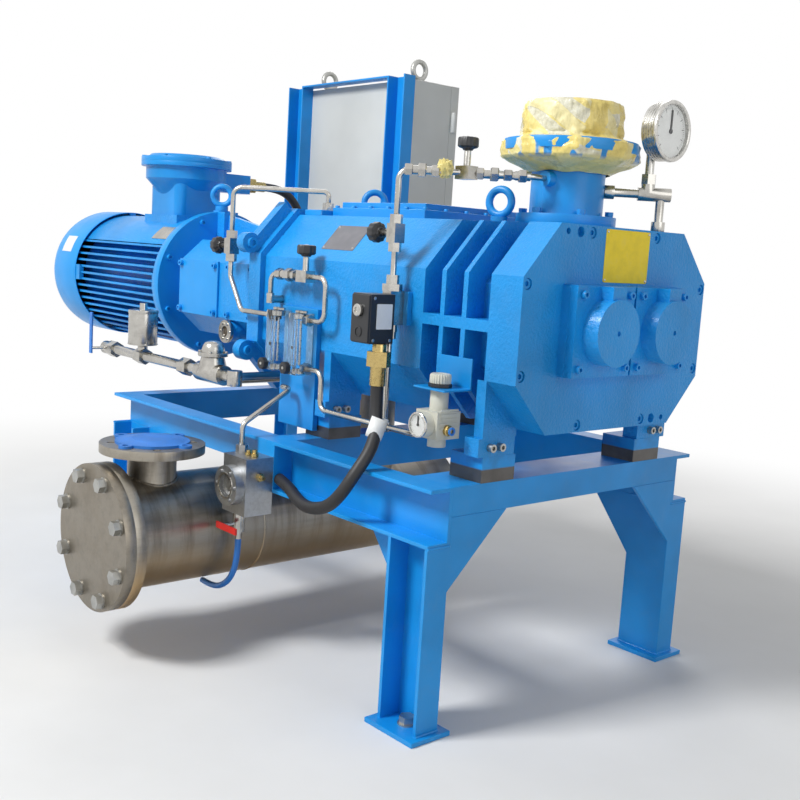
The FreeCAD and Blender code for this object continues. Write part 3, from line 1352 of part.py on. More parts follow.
stack_x = d.valve_block_x
neck_boss_x = d.inlet_centre + d.neck_boss_side
neck_boss_y = -neck_radius - d.neck_boss_reach
purge_start_y = neck_boss_y - d.port_run
purge_spot = (neck_boss_x + (stack_x - neck_boss_x) * d.purge_share,
              purge_start_y + (line_y - purge_start_y) * d.purge_share, d.neck_boss_height)
needle_valves = {
    "case": ((d.needle_x, line_y, d.needle_height), "Z", "-X"),
    "loop": ((d.loop_valve_x, line_y, d.loop_height), "X", "Z"),
    "stack": ((stack_x, line_y, d.stack_valve_height), "Z", "-X"),
    "purge": (purge_spot, "X", "Z"),
}
valve_half = d.valve_length / 2
valve_bodies = {}
valves = {}
for side_name, (spot, tube_along, along) in needle_valves.items():
    x, y, z = spot
    step = {"-X": (-1, 0, 0), "Z": (0, 0, 1)}[along]
    half = d.valve_body / 2
    half_x = valve_half if tube_along == "X" else half
    half_z = valve_half if tube_along == "Z" else half
    valve_bodies[side_name] = block(
        x - half_x, y - half, z - half_z, 2 * half_x, d.valve_body, 2 * half_z)
    stem = rod(x, y, z, along, d.valve_stem_radius, half + d.valve_stem)
    valves[side_name] = fuse(part_name("NeedleValve"), [valve_bodies[side_name], stem])
    reach = half + d.valve_stem + d.knob_gap
    knob(f"valve_knob_{side_name}", x + step[0] * reach, y + step[1] * reach,
         z + step[2] * reach, along, d.knob_radius, d.knob_length)

# Fittings that join the tubes

manifold_x = d.top_block_start + d.manifold_port
manifold_y = -flat + d.top_block_width / 2
block_end = housing_top + d.top_block_height
meter_top = d.meter_base + d.meter_height - d.meter_port_inset
meter_low = d.meter_base + d.meter_knob_rise
right_edge = d.meter_right + d.meter_width / 2
left_edge = d.meter_left - d.meter_width / 2
case_valve_top = d.needle_height + valve_half
case_valve_low = d.needle_height - valve_half
stack_low = d.stack_valve_height - valve_half
stack_top = d.stack_valve_height + valve_half
valve_top = d.valve_block_base + d.valve_block_height
stack_foot = d.valve_block_base - 2 * d.stack_nut_length
regulator_side = d.regulator_x - d.regulator_width / 2
low_tee = rod(stack_x, line_y, d.low_line - d.fitting_radius, "Z", d.fitting_radius,
              2 * d.fitting_radius)
check_length = d.check_end - d.check_start
check_valve = fuse("CheckValve", [
    nut(d.check_start, line_y, d.loop_height, "X", d.nut_across, d.nut_length),
    rod(d.check_start, line_y, d.loop_height, "X", d.fitting_radius, check_length),
    nut(d.check_start + check_length / 2, line_y, d.loop_height, "X", d.check_nut,
        d.nut_length),
    nut(d.check_end - d.nut_length / 2, line_y, d.loop_height, "X", d.nut_across,
        d.nut_length / 2)])
elbow = fuse("LoopElbow", [
    rod(d.loop_end_x, line_y, d.loop_elbow - d.elbow_radius, "Z", d.elbow_radius,
        d.elbow_radius + d.elbow_reach_short),
    rod(d.loop_end_x, line_y, d.loop_elbow, "Y", d.elbow_radius, bracket_back - line_y)])
fittings = [
    fuse("CaseValve", [
        valves["case"],
        nut(d.needle_x, line_y, case_valve_top, "Z", d.nut_across, d.nut_length),
        nut(d.needle_x, line_y, case_valve_low - d.nut_length, "Z", d.nut_across,
            d.nut_length)]),
    valves["loop"], valves["purge"], check_valve, elbow,
    nut(manifold_x, manifold_y, block_end, "Z", d.nut_across, d.nut_length),
    nut(right_edge, line_y, meter_top, "X", d.nut_across, d.nut_length),
    nut(right_edge, line_y, meter_low, "X", d.nut_across, d.nut_length),
    nut(left_edge, line_y, meter_top, "-X", d.nut_across, d.nut_length),
    fuse("ValveStack", [
        valves["stack"],
        nut(stack_x, line_y, stack_top, "Z", d.nut_across, d.nut_length),
        nut(stack_x, line_y, stack_low - d.nut_length, "Z", d.nut_across, d.nut_length),
        nut(stack_x, line_y, valve_top, "Z", d.stack_nut, d.stack_nut_length),
        nut(stack_x, line_y, valve_top + d.stack_nut_length, "Z", d.nut_across,
            d.nut_length),
        rod(stack_x, line_y, valve_top, "Z", d.tube_radius, stack_low - valve_top),
        block(stack_x - d.valve_block / 2, line_y - d.valve_block_front,
              d.valve_block_base, d.valve_block,
              bracket_face - line_y + d.valve_block_front, d.valve_block_height),
        nut(stack_x, line_y, d.valve_block_base - d.stack_nut_length, "Z", d.check_nut,
            d.stack_nut_length),
        nut(stack_x, line_y, stack_foot, "Z", d.nut_across, d.stack_nut_length)]),
    nut(regulator_side, line_y, d.regulator_port, "-X", d.nut_across, d.nut_length),
    low_tee, oil_sight]
finish("tube_fittings", group("TubeFittings", fittings + [top_block.body]))

tubes = [
    tube([(d.needle_x, line_y, case_valve_top + d.nut_length),
          (d.needle_x, line_y, d.bridge_height),
          (manifold_x, manifold_y, d.bridge_height),
          (manifold_x, manifold_y, block_end + d.nut_length)],
         d.tube_radius, d.tube_bend),
    tube([(d.needle_x, line_y, case_valve_low - d.nut_length),
          (d.needle_x, line_y, case_valve_low - d.nut_length - d.port_run),
          (d.feed_start, line_y, meter_top),
          (left_edge - d.nut_length, line_y, meter_top)],
         d.tube_radius, d.tube_bend),
    cut("LoopTube", tube([
        (right_edge + d.nut_length, line_y, meter_top),
        (d.outlet_x, line_y, meter_top), (d.outlet_x, line_y, d.loop_height),
        (d.loop_end_x, line_y, d.loop_height),
        (d.loop_end_x, line_y, d.loop_elbow + d.elbow_reach_short)],
        d.tube_radius, d.tube_bend), fuse("LoopFittings", [
            valve_bodies["loop"], check_valve])),
    cut("LowTube", tube([
        (right_edge + d.nut_length, line_y, meter_low),
        (d.outlet_x, line_y, meter_low), (d.outlet_x, line_y, d.low_line),
        (regulator_side - d.port_run, line_y, d.low_line),
        (regulator_side - d.port_run, line_y, d.regulator_port),
        (regulator_side - d.nut_length, line_y, d.regulator_port)],
        d.tube_radius, d.tube_bend), low_tee),
    strut((stack_x, line_y, stack_foot),
          (stack_x, line_y, d.low_line + d.fitting_radius), d.tube_radius),
    cut("PurgeTube", tube([
        (neck_boss_x, neck_boss_y, d.neck_boss_height),
        (neck_boss_x, purge_start_y, d.neck_boss_height),
        (stack_x, line_y, d.neck_boss_height),
        (stack_x, line_y, stack_top + d.nut_length)],
        d.tube_radius, d.tube_bend), valve_bodies["purge"])]

coil = Piece("solenoid_coil")
coil_y = line_y - d.valve_block_front - d.fit_gap - d.coil_width / 2
coil.pad("X", stack_x - d.coil_length / 2, d.coil_length, rectangle(
    coil_y - d.coil_width / 2, d.coil_base, d.coil_width, d.coil_height))
coil.done()

# Air regulator with its small gauge

plate_top = d.regulator_plate_height + d.sheet_wall
regulator_half = d.regulator_width / 2
body_top = d.regulator_base + d.regulator_height
small_gauge_y = d.regulator_y - regulator_half
finish("air_regulator", fuse("AirRegulator", [
    block(regulator_side, d.regulator_y - regulator_half, d.regulator_base,
          d.regulator_width, d.regulator_width, d.regulator_height),
    rod(d.regulator_x, d.regulator_y, body_top, "Z", d.regulator_neck,
        d.regulator_plate_height - body_top),
    rod(d.regulator_x, d.regulator_y, d.regulator_base - d.regulator_foot, "Z",
        d.regulator_neck, d.regulator_foot),
    cut("SmallGauge",
        rod(d.regulator_x, small_gauge_y, d.regulator_port, "-Y",
            d.small_gauge_radius, d.small_gauge_depth),
        rod(d.regulator_x, regulator_face + d.dial_sink / 2, d.regulator_port, "-Y",
            d.small_gauge_radius - d.gauge_rim / 2, d.dial_sink / 2))]))
knob("regulator_knob", d.regulator_x, d.regulator_y, plate_top + d.knob_gap, "Z",
     d.knob_radius, d.regulator_knob_length)
finish("regulator_pointer", fuse("RegulatorPointer", [
    rod(d.regulator_x, regulator_face + d.dial_sink / 2 - d.knob_gap, d.regulator_port, "-Y",
        d.pointer_hub / 2, d.pointer_wall),
    block(d.regulator_x - d.pointer_width / 4,
          regulator_face + d.dial_sink / 2 - d.knob_gap - d.pointer_wall, d.regulator_port,
          d.pointer_width / 2, d.pointer_wall,
          d.small_gauge_radius * d.pointer_share)]))

# Sight block on the near rail, with its drain valve

block_front = -half_width - d.sight_depth
sight_centre = d.sight_start + d.sight_length / 2
sight_screws = [
    rod(sight_centre + d.sight_screw_circle * cosine(60 * step), block_front - d.sight_flange,
        d.sight_height + d.sight_screw_circle * sine(60 * step), "-Y",
        d.meter_stem_radius, d.meter_stem_radius)
    for step in range(6)]
drain_y = -half_width - d.sight_depth / 2
finish("sight_block", fuse("SightBlock", [
    cut("SightBody", fuse("SightSolid", [
        block(d.sight_start, block_front, d.sight_base, d.sight_length, d.sight_depth,
              d.sight_tall),
        rod(sight_centre, block_front, d.sight_height, "-Y", d.sight_radius,
            d.sight_flange)]),
        rod(sight_centre, block_front - d.sight_flange / 2, d.sight_height, "-Y",
            d.sight_window, d.sight_flange / 2)),
    nut(d.drain_x, drain_y, d.sight_base + d.sight_tall, "Z", d.nut_across,
        d.nut_length)] + sight_screws))
valve_low = d.sight_base - d.drain_drop
lever_y = drain_y - d.drain_radius - d.drain_stem
finish("drain_valve", fuse("DrainValve", [
    nut(d.drain_x, drain_y, d.sight_base - d.nut_length, "Z", d.nut_across, d.nut_length),
    rod(d.drain_x, drain_y, valve_low, "Z", d.drain_radius, d.drain_drop),
    rod(d.drain_x, drain_y, d.drain_lever_height, "-Y", d.meter_stem_radius,
        d.drain_radius + d.drain_stem),
    rod(d.drain_x, drain_y, valve_low - d.hose_barb, "Z", d.hose_radius, d.hose_barb)]))
finish("drain_lever", block(
    d.drain_x - d.lever_tail, lever_y - d.knob_gap - d.sheet_wall,
    d.drain_lever_height - d.lever_width / 2,
    d.lever_length + d.lever_tail, d.sheet_wall, d.lever_width))
cord("drain_hose", DRAIN_ROUTE, d.hose_radius)
tubes.append(tube([
    (d.drain_x, drain_y, d.sight_base + d.sight_tall + d.nut_length),
    (d.drain_x, drain_y, d.sight_rise), (d.drain_x, line_y, d.sight_bridge),
    (d.drain_x - d.port_run, line_y, d.sight_bridge)],
    d.tube_radius, d.tube_bend))
finish("instrument_tubes", group("InstrumentTubes", tubes))

# Cooling water pipe along the near side

pipe_y = -d.water_line
pipe_z = d.water_height
boss_face = -d.water_boss_reach
tee_x = d.water_tee
lever_x = d.water_start - d.valve_stem / 2
finish("water_pipe", fuse("WaterPipe", [
    strut((d.water_port, boss_face, pipe_z), (d.water_port, pipe_y, pipe_z),
          d.water_pipe_radius),
    strut((d.water_port + d.water_pipe_radius, pipe_y, pipe_z), (d.water_start, pipe_y, pipe_z),
          d.water_pipe_radius),
    rod(d.water_port, pipe_y, pipe_z - d.water_socket, "Z", d.water_socket,
        2 * d.water_socket),
    nut(d.water_start, pipe_y, pipe_z, "X", d.water_nut, d.water_nut),
    nut(tee_x - d.water_nut / 2, pipe_y, pipe_z, "X", d.water_nut, d.water_nut),
    rod(tee_x, pipe_y, pipe_z, "Z", d.water_pipe_radius, d.can_base - d.water_height),
    rod(d.solenoid_start, pipe_y, pipe_z, "X", d.water_socket + d.water_valve_lip,
        d.solenoid_length),
    cone(d.solenoid_start + d.solenoid_length / 2, pipe_y, pipe_z, "Z",
         d.solenoid_dome, d.solenoid_dome / 2, d.solenoid_rise),
    nut(d.union_start, pipe_y, pipe_z, "X", d.water_nut, d.water_nut),
    rod(d.water_start - d.valve_stem, pipe_y, pipe_z, "X", d.water_socket,
        d.water_nut + d.valve_stem),
    rod(lever_x, pipe_y, pipe_z, "-Y", d.meter_stem_radius,
        d.water_socket + d.drain_stem)]))
lever_face = pipe_y - d.water_socket - d.drain_stem - d.knob_gap
finish("water_lever", block(
    lever_x - d.lever_width / 2, lever_face - d.sheet_wall, pipe_z - d.lever_width,
    d.lever_width, d.sheet_wall, d.water_lever_length + d.lever_width))
finish("transmitter", fuse("Transmitter", [
    rod(tee_x, pipe_y, d.can_base, "Z", d.can_radius, d.can_height),
    rod(tee_x, pipe_y, d.can_base + d.can_height, "Z", d.fitting_radius, d.nut_length)]))

# Switch cabinet on its stand behind the motor

post_front = half_width
post_back = post_front + d.post_depth
box_right = d.cabinet_end
box_left = d.cabinet_end - d.cabinet_width
box_top = d.cabinet_base + d.cabinet_height


def post(x):
    """A channel post on a foot plate, open towards the skid."""
    piece = Piece(part_name("Post"))
    right = x + d.post_width
    piece.pad("Z", d.base_plate, d.post_height - d.base_plate, polygon([
        (x, post_front), (x, post_back), (right, post_back), (right, post_front),
        (right - d.post_wall, post_front), (right - d.post_wall, post_back - d.post_wall),
        (x + d.post_wall, post_back - d.post_wall), (x + d.post_wall, post_front)]))
    # The foot plate starts beside the base plate of the skid's leg.
    piece.pad("Z", 0, d.base_plate, rectangle(
        x - d.post_wall, half_width - d.rail_flange / 2 + d.base_width / 2 + d.fit_gap,
        d.post_width + 2 * d.post_wall, d.post_foot))
    return piece.body


left_post = box_left
right_post = box_right - d.post_width
bar_start = left_post + d.post_width
finish("cabinet_stand", group("CabinetStand", [
    post(left_post), post(right_post),
    block(bar_start, post_front, d.post_height - d.post_wall, right_post - bar_start,
          d.post_depth, d.post_wall)]))
cabinet = Piece("cabinet_box")
cabinet.pad("Z", d.cabinet_base, d.cabinet_height, rectangle(
    box_left, post_back, d.cabinet_width, d.cabinet_depth))
cabinet.pocket("Y", post_back + d.cabinet_wall, d.cabinet_depth - d.cabinet_wall, rectangle(
    box_left + d.cabinet_wall, d.cabinet_base + d.cabinet_wall,
    d.cabinet_width - 2 * d.cabinet_wall, d.cabinet_height - 2 * d.cabinet_wall))
cabinet.pad("Y", post_back + d.cabinet_wall, d.rack_depth, rectangle(
    box_left + d.rack_inset, d.cabinet_base + d.rack_inset,
    d.cabinet_width - 2 * d.rack_inset, d.cabinet_height - 2 * d.rack_inset))
for row in (0, 1):
    cabinet.pad("Y", post_back + d.cabinet_wall + d.rack_depth, d.switch_depth, rectangle(
        box_left + 2 * d.rack_inset, d.cabinet_base + (2 + 4 * row) * d.rack_inset,
        d.cabinet_width - 4 * d.rack_inset, 2 * d.rack_inset))
cabinet.done()
door_y = post_back + d.cabinet_depth + d.door_gap
hinge_x = box_right + d.hinge_radius + d.fit_gap
door = Piece("cabinet_door")
door.pad("Z", d.cabinet_base, d.cabinet_height, rectangle(
    box_left, door_y, d.cabinet_width, d.door_wall))
for height in (d.hinge_low, d.hinge_high):
    door.pad("Z", height, d.hinge_length, ring(hinge_x, door_y + d.hinge_radius,
                                               d.hinge_radius))
    door.pad("Z", height, d.hinge_length, rectangle(
        box_right, door_y + d.hinge_radius, d.hinge_radius, d.hinge_radius / 2))
door.done()
handle_x = box_left + d.handle_inset
handle_y = door_y + d.door_wall
finish("cabinet_handle", fuse("CabinetHandle", [
    rod(handle_x, handle_y, d.handle_height, "Y", d.handle_radius, d.handle_stand),
    block(handle_x - d.handle_radius, handle_y + d.handle_stand,
          d.handle_height - d.handle_length, 2 * d.handle_radius, d.sheet_wall * 2,
          d.handle_length + d.handle_radius)]))
eyes += [eye_bolt(x, post_back + d.cabinet_depth / 2, box_top, 0)
         for x in (box_left + d.cabinet_eye_inset, box_right - d.cabinet_eye_inset)]
finish("lifting_eyes", group("LiftingEyes", eyes))

# Cable glands and conduits



def gland(x, y, z, along):
    """A hexagon gland body with a round ferrule that grips the conduit."""
    step = {"Y": (0, 1, 0), "-Z": (0, 0, -1)}[along]
    reach = d.gland_length
    return fuse(part_name("Gland"), [
        nut(x, y, z, along, d.gland_nut, reach),
        rod(x + step[0] * reach, y + step[1] * reach, z + step[2] * reach, along,
            d.ferrule_radius, d.ferrule_length)])


gland_back = post_back + d.cabinet_depth / 2
coil_gland_x = stack_x + d.coil_gland_shift
connector_low = d.coil_base - d.connector_length
finish("cable_glands", group("CableGlands", [
    gland(d.box_centre, box_y + d.gland_reach, d.gland_height, "Y"),
    gland(d.cabinet_gland, gland_back, d.cabinet_base, "-Z"),
    fuse("CoilGland", [
        rod(coil_gland_x, coil_y, d.coil_base, "-Z", d.connector_radius,
            d.connector_length),
        gland(coil_gland_x, coil_y, connector_low, "-Z")])]))
cord("motor_conduit", MOTOR_ROUTE, d.conduit_radius)
cord("signal_conduit", SIGNAL_ROUTE, d.conduit_radius)

doc.recompute()
failed = [item.Name for item in doc.Objects
          if "Invalid" in item.State or "Error" in item.State]
if failed:
    raise RuntimeError(f"features that failed: {failed}")
for item in finished:
    if item.Shape.isNull() or not item.Shape.isValid():
        raise RuntimeError(f"{item.Label} has no valid shape")

os.makedirs("parts", exist_ok=True)
for item in finished:
    item.Shape.exportStep(f"parts/{item.Label}.step")
print(f"{len(finished)} sub-parts written")
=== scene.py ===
import json
import math
import bpy
from mathutils import Matrix, Vector, noise


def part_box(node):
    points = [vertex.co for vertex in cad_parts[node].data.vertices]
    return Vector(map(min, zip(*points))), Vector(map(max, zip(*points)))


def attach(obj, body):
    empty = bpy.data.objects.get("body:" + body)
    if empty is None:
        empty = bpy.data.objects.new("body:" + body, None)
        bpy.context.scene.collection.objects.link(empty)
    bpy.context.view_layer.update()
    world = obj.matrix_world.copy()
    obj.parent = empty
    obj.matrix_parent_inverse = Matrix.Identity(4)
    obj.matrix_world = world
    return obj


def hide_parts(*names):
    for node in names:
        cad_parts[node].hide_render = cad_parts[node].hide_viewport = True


# Dry screw vacuum pump on its skid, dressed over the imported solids. Metres throughout.

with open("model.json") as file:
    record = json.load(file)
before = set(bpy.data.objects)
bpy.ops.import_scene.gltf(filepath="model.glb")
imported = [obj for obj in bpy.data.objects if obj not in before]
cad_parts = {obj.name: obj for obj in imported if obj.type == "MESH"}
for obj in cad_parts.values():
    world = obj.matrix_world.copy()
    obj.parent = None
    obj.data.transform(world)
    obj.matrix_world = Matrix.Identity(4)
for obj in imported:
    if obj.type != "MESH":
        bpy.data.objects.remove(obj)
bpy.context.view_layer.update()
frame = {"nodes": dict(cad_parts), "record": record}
nodes = frame["nodes"]
scene = bpy.context.scene

# Camera at the place and lens that the photograph was taken with

CAMERA_PLACE = Vector((2.00538, -1.71747, 0.92611))
CAMERA_YAW = math.radians(48.43)
CAMERA_PITCH = math.radians(8.19)
CAMERA_ROLL = math.radians(3.52)
LENS = 47.597

forward = Vector((-math.sin(CAMERA_YAW) * math.cos(CAMERA_PITCH),
                  math.cos(CAMERA_YAW) * math.cos(CAMERA_PITCH), -math.sin(CAMERA_PITCH)))
level_right = Vector((math.cos(CAMERA_YAW), math.sin(CAMERA_YAW), 0))
level_up = level_right.cross(forward)
right = math.cos(CAMERA_ROLL) * level_right + math.sin(CAMERA_ROLL) * level_up
upright = math.cos(CAMERA_ROLL) * level_up - math.sin(CAMERA_ROLL) * level_right
camera_data = bpy.data.cameras.new("camera")
camera_data.lens = LENS
camera_data.clip_start = 0.05
camera = bpy.data.objects.new("camera", camera_data)
scene.collection.objects.link(camera)
camera.matrix_world = Matrix((
    (right.x, upright.x, -forward.x, CAMERA_PLACE.x),
    (right.y, upright.y, -forward.y, CAMERA_PLACE.y),
    (right.z, upright.z, -forward.z, CAMERA_PLACE.z),
    (0, 0, 0, 1)))
scene.camera = camera
scene.view_settings.view_transform = "Standard"


# Shader nodes

BLACK = (0, 0, 0)
WHITE = (1, 1, 1)


def shader(name):
    """A new material with its node tree and its principled shader."""
    mat = bpy.data.materials.new(name)
    mat.use_nodes = True
    return mat, mat.node_tree, mat.node_tree.nodes["Principled BSDF"]


def add(tree, kind, **values):
    """A new node; each value goes to the socket of its name, or else to that setting."""
    node = tree.nodes.new(kind)
    for key, value in values.items():
        if key in node.inputs:
            node.inputs[key].default_value = value
        else:
            setattr(node, key, value)
    return node


def object_place(tree):
    """A point in the object's own coordinates, which are metres."""
    return add(tree, "ShaderNodeTexCoord").outputs["Object"]


def object_height(tree):
    split = add(tree, "ShaderNodeSeparateXYZ")
    tree.links.new(object_place(tree), split.inputs["Vector"])
    return split.outputs["Z"]


def object_noise(tree, scale, detail=4, stretch=(1, 1, 1), roughness=0.55):
    mapping = add(tree, "ShaderNodeMapping", Scale=stretch)
    tree.links.new(object_place(tree), mapping.inputs["Vector"])
    pattern = add(tree, "ShaderNodeTexNoise", Scale=scale, Detail=detail, Roughness=roughness)
    tree.links.new(mapping.outputs["Vector"], pattern.inputs["Vector"])
    return pattern.outputs["Fac"]


def ramp(tree, source, stops):
    """Colours along a value: stops are (place, colour) pairs."""
    node = add(tree, "ShaderNodeValToRGB")
    elements = node.color_ramp.elements
    while len(elements) < len(stops):
        elements.new(0.5)
    for element, (place, colour) in zip(elements, stops):
        element.position = place
        element.color = (*colour, 1)
    tree.links.new(source, node.inputs["Fac"])
    return node.outputs["Color"]


def blend_colour(tree, factor, first, second, blend_type="MIX"):
    """Mix two colours; the factor and the colours are plain values or outputs of nodes."""
    node = add(tree, "ShaderNodeMix", data_type="RGBA", blend_type=blend_type)
    for label, value in (("Factor", factor), ("A", first), ("B", second)):
        if isinstance(value, tuple):
            node.inputs[label].default_value = (*value, 1)
        elif isinstance(value, float):
            node.inputs[label].default_value = value
        else:
            tree.links.new(value, node.inputs[label])
    return node.outputs["Result"]


def bump(tree, height, strength, distance, below=None):
    """Relief from a height pattern, over the relief below it if there is one."""
    node = add(tree, "ShaderNodeBump", Strength=strength, Distance=distance)
    tree.links.new(height, node.inputs["Height"])
    if below is not None:
        tree.links.new(below, node.inputs["Normal"])
    return node.outputs["Normal"]


def remap(tree, source, span, values, kind="LINEAR"):
    """A value that goes from the first to the second as the source crosses the span."""
    node = add(tree, "ShaderNodeMapRange", interpolation_type=kind)
    for label, value in zip(("From Min", "From Max", "To Min", "To Max"), (*span, *values)):
        node.inputs[label].default_value = value
    tree.links.new(source, node.inputs["Value"])
    return node.outputs["Result"]


def spread(tree, source, low, high):
    """Stretch a 0 to 1 value over a range."""
    return remap(tree, source, (0, 1), (low, high))


def maths(tree, operation, first, second):
    node = add(tree, "ShaderNodeMath", operation=operation)
    tree.links.new(first, node.inputs[0])
    tree.links.new(second, node.inputs[1])
    return node.outputs["Value"]


def dress(tree, bsdf, colour, rough, relief):
    """Link a principled shader's colour, roughness and relief."""
    for label, source in (("Base Color", colour), ("Roughness", rough), ("Normal", relief)):
        tree.links.new(source, bsdf.inputs[label])


def scaled(colour, share):
    return tuple(part * share for part in colour)


# Finishes

def painted(name, colour, rough=0.34, grain=0.0004, grain_scale=140, dust=0.2, coat=0.12,
            depth=0.76):
    """Enamel over metal: uneven film, dust in patches and a fine or a cast grain."""
    mat, tree, bsdf = shader(name)
    pale = tuple(min(0.9, part * 1.1 + 0.01) for part in colour)
    dusty = tuple(part * 0.6 + 0.1 for part in colour)
    base = ramp(tree, object_noise(tree, 3.5, detail=3),
                [(0.3, scaled(colour, depth)), (0.52, colour), (0.75, pale)])
    patches = ramp(tree, object_noise(tree, 19, detail=9, roughness=0.68),
                   [(0.52, BLACK), (0.78, scaled(WHITE, dust))])
    surface = bump(tree, object_noise(tree, grain_scale, detail=3), 0.5, grain)
    dress(tree, bsdf, blend_colour(tree, patches, base, dusty),
          spread(tree, object_noise(tree, 30, detail=5), rough - 0.08, rough + 0.16),
          bump(tree, object_noise(tree, 22, detail=2), 0.25, 0.0008, surface))
    bsdf.inputs["Coat Weight"].default_value = coat
    bsdf.inputs["Coat Roughness"].default_value = 0.12
    bsdf.inputs["Specular IOR Level"].default_value = 0.38
    return mat


def metal(name, colour, rough, stretch=(1, 1, 1), scale=60, stain=(0.2, 0.17, 0.13),
          stains=0.3, relief=0.0002, streaks=(1, 1, 1), ground_reflection_span=None):
    """Bare metal with grain along one direction, faint stains and, when a span is given, a painted
    reflection of brown ground low down.
    """
    mat, tree, bsdf = shader(name)
    grain = object_noise(tree, scale, detail=6, stretch=stretch, roughness=0.7)
    base = ramp(tree, grain, [(0.25, scaled(colour, 0.72)), (0.55, colour), (0.8, colour)])
    marks = ramp(tree, object_noise(tree, 9, detail=8, stretch=streaks, roughness=0.7),
                 [(0.48, BLACK), (0.72, scaled(WHITE, stains))])
    tone = blend_colour(tree, marks, base, stain)
    # Painted reflection: the metal turns brown towards the bottom, standing in for the ground
    # mirrored in it
    if ground_reflection_span is not None:
        share = remap(tree, object_height(tree), ground_reflection_span, (0.8, 0))
        tone = blend_colour(tree, share, tone, (0.5, 0.34, 0.17))
    dress(tree, bsdf, tone, spread(tree, grain, rough - 0.1, rough + 0.18),
          bump(tree, grain, 0.4, relief))
    bsdf.inputs["Metallic"].default_value = 1
    return mat


def moulded(name, colour, rough, grain=0.0002, grain_scale=500):
    """Moulded plastic or rubber with a fine grain."""
    mat, tree, bsdf = shader(name)
    broad = object_noise(tree, 25, detail=4)
    dress(tree, bsdf, ramp(tree, broad, [(0.3, scaled(colour, 0.8)), (0.7, colour)]),
          spread(tree, broad, rough - 0.08, rough + 0.1),
          bump(tree, object_noise(tree, grain_scale, detail=2), 0.4, grain))
    return mat


def clear(name, tint, passing, ior, scale, rough):
    """A clear solid: its tint, the share of light that passes, and its haze."""
    mat, tree, bsdf = shader(name)
    bsdf.inputs["Base Color"].default_value = (*tint, 1)
    bsdf.inputs["Transmission Weight"].default_value = passing
    bsdf.inputs["IOR"].default_value = ior
    tree.links.new(spread(tree, object_noise(tree, scale), *rough), bsdf.inputs["Roughness"])
    return mat


def flat_print(name, colour, rough, mottle=0.12):
    """A printed or anodised sheet, a little uneven and scuffed."""
    mat, tree, bsdf = shader(name)
    deep = scaled(colour, 1 - mottle)
    worn = tuple(part + 0.5 * mottle for part in deep)
    dress(tree, bsdf,
          ramp(tree, object_noise(tree, 45, detail=6), [(0.3, deep), (0.55, colour), (0.8, worn)]),
          spread(tree, object_noise(tree, 90), rough - 0.1, rough + 0.1),
          bump(tree, object_noise(tree, 300), 0.3, 0.0001))
    return mat


def two_finishes(name, level, below, above):
    """One finish below a height and another above it; each is a colour and how metallic."""
    mat, tree, bsdf = shader(name)
    high = remap(tree, object_height(tree), (level, level + 0.003), (0, 1))
    broad = object_noise(tree, 30, detail=5)
    layers = [ramp(tree, broad, [(0.3, scaled(colour, 0.72)), (0.6, colour)])
              for colour, _ in (below, above)]
    dress(tree, bsdf, blend_colour(tree, high, *layers), spread(tree, broad, 0.3, 0.5),
          bump(tree, object_noise(tree, 160), 0.4, 0.0005))
    tree.links.new(spread(tree, high, below[1], above[1]), bsdf.inputs["Metallic"])
    return mat


def strips(tree, turn, width, share):
    """A mask of parallel strips in a turned direction, with slightly wandering edges."""
    tilt = add(tree, "ShaderNodeMapping", Rotation=turn)
    tree.links.new(object_place(tree), tilt.inputs["Vector"])
    wave = add(tree, "ShaderNodeTexWave", wave_type="BANDS", bands_direction="X",
               Scale=0.314 / width, Distortion=1.6, Detail=2)
    wave.inputs["Detail Scale"].default_value = 1.2
    tree.links.new(tilt.outputs["Vector"], wave.inputs["Vector"])
    return ramp(tree, wave.outputs["Fac"], [(share, BLACK), (share + 0.03, WHITE)])


def wrapping():
    """Yellow tape in crossing strips over clear film, with bare paint on the flange's rim and
    painted shade on the skirt below the flange.
    """
    mat, tree, bsdf = shader("tape_and_film")
    film = ramp(tree, object_noise(tree, 60, detail=8, roughness=0.75),
                [(0.35, (0.6, 0.58, 0.46)), (0.5, (0.78, 0.76, 0.6)), (0.68, (0.9, 0.89, 0.8))])
    steep = strips(tree, (0.5, 0.9, 0.4), 0.052, 0.42)
    crossing = strips(tree, (-0.7, 0.5, 1.9), 0.06, 0.58)
    standing = strips(tree, (0.1, 0.1, 1.2), 0.075, 0.52)
    layers = film
    for mask, tape in ((steep, (0.88, 0.75, 0.3)), (crossing, (0.9, 0.82, 0.46)),
                       (standing, (0.86, 0.7, 0.22))):
        layers = blend_colour(tree, mask, layers, tape)
    shade = ramp(tree, object_noise(tree, 34, detail=9, roughness=0.72),
                 [(0.34, (0.74, 0.7, 0.56)), (0.56, WHITE)])
    shaded = blend_colour(tree, 0.8, layers, shade, "MULTIPLY")
    height = object_height(tree)
    below_can = remap(tree, height, (1.158, 1.166), (1, 0))
    above_skirt = remap(tree, height, (1.118, 1.127), (0, 1))
    torn = ramp(tree, object_noise(tree, 15, detail=2, stretch=(1, 1, 0.4)),
                [(0.545, BLACK), (0.56, WHITE)])
    bare = maths(tree, "MULTIPLY", maths(tree, "MULTIPLY", below_can, torn), above_skirt)
    # Painted shade: below the flange's rim the tape turns olive, standing in for the shade under
    # the flange
    under_flange_shade = remap(tree, height, (1.124, 1.13), (0.75, 0))
    shaded_underside = blend_colour(tree, under_flange_shade, shaded, (0.74, 0.64, 0.24))
    creases = bump(tree, object_noise(tree, 60, detail=7, stretch=(1, 1, 0.3)), 1.0, 0.005)
    folds = bump(tree, object_noise(tree, 24, detail=3, roughness=0.4), 0.8, 0.006, creases)
    dress(tree, bsdf, blend_colour(tree, bare, shaded_underside, (0.01, 0.25, 0.62)),
          spread(tree, steep, 0.2, 0.42), bump(tree, crossing, 0.6, 0.0012, folds))
    return mat


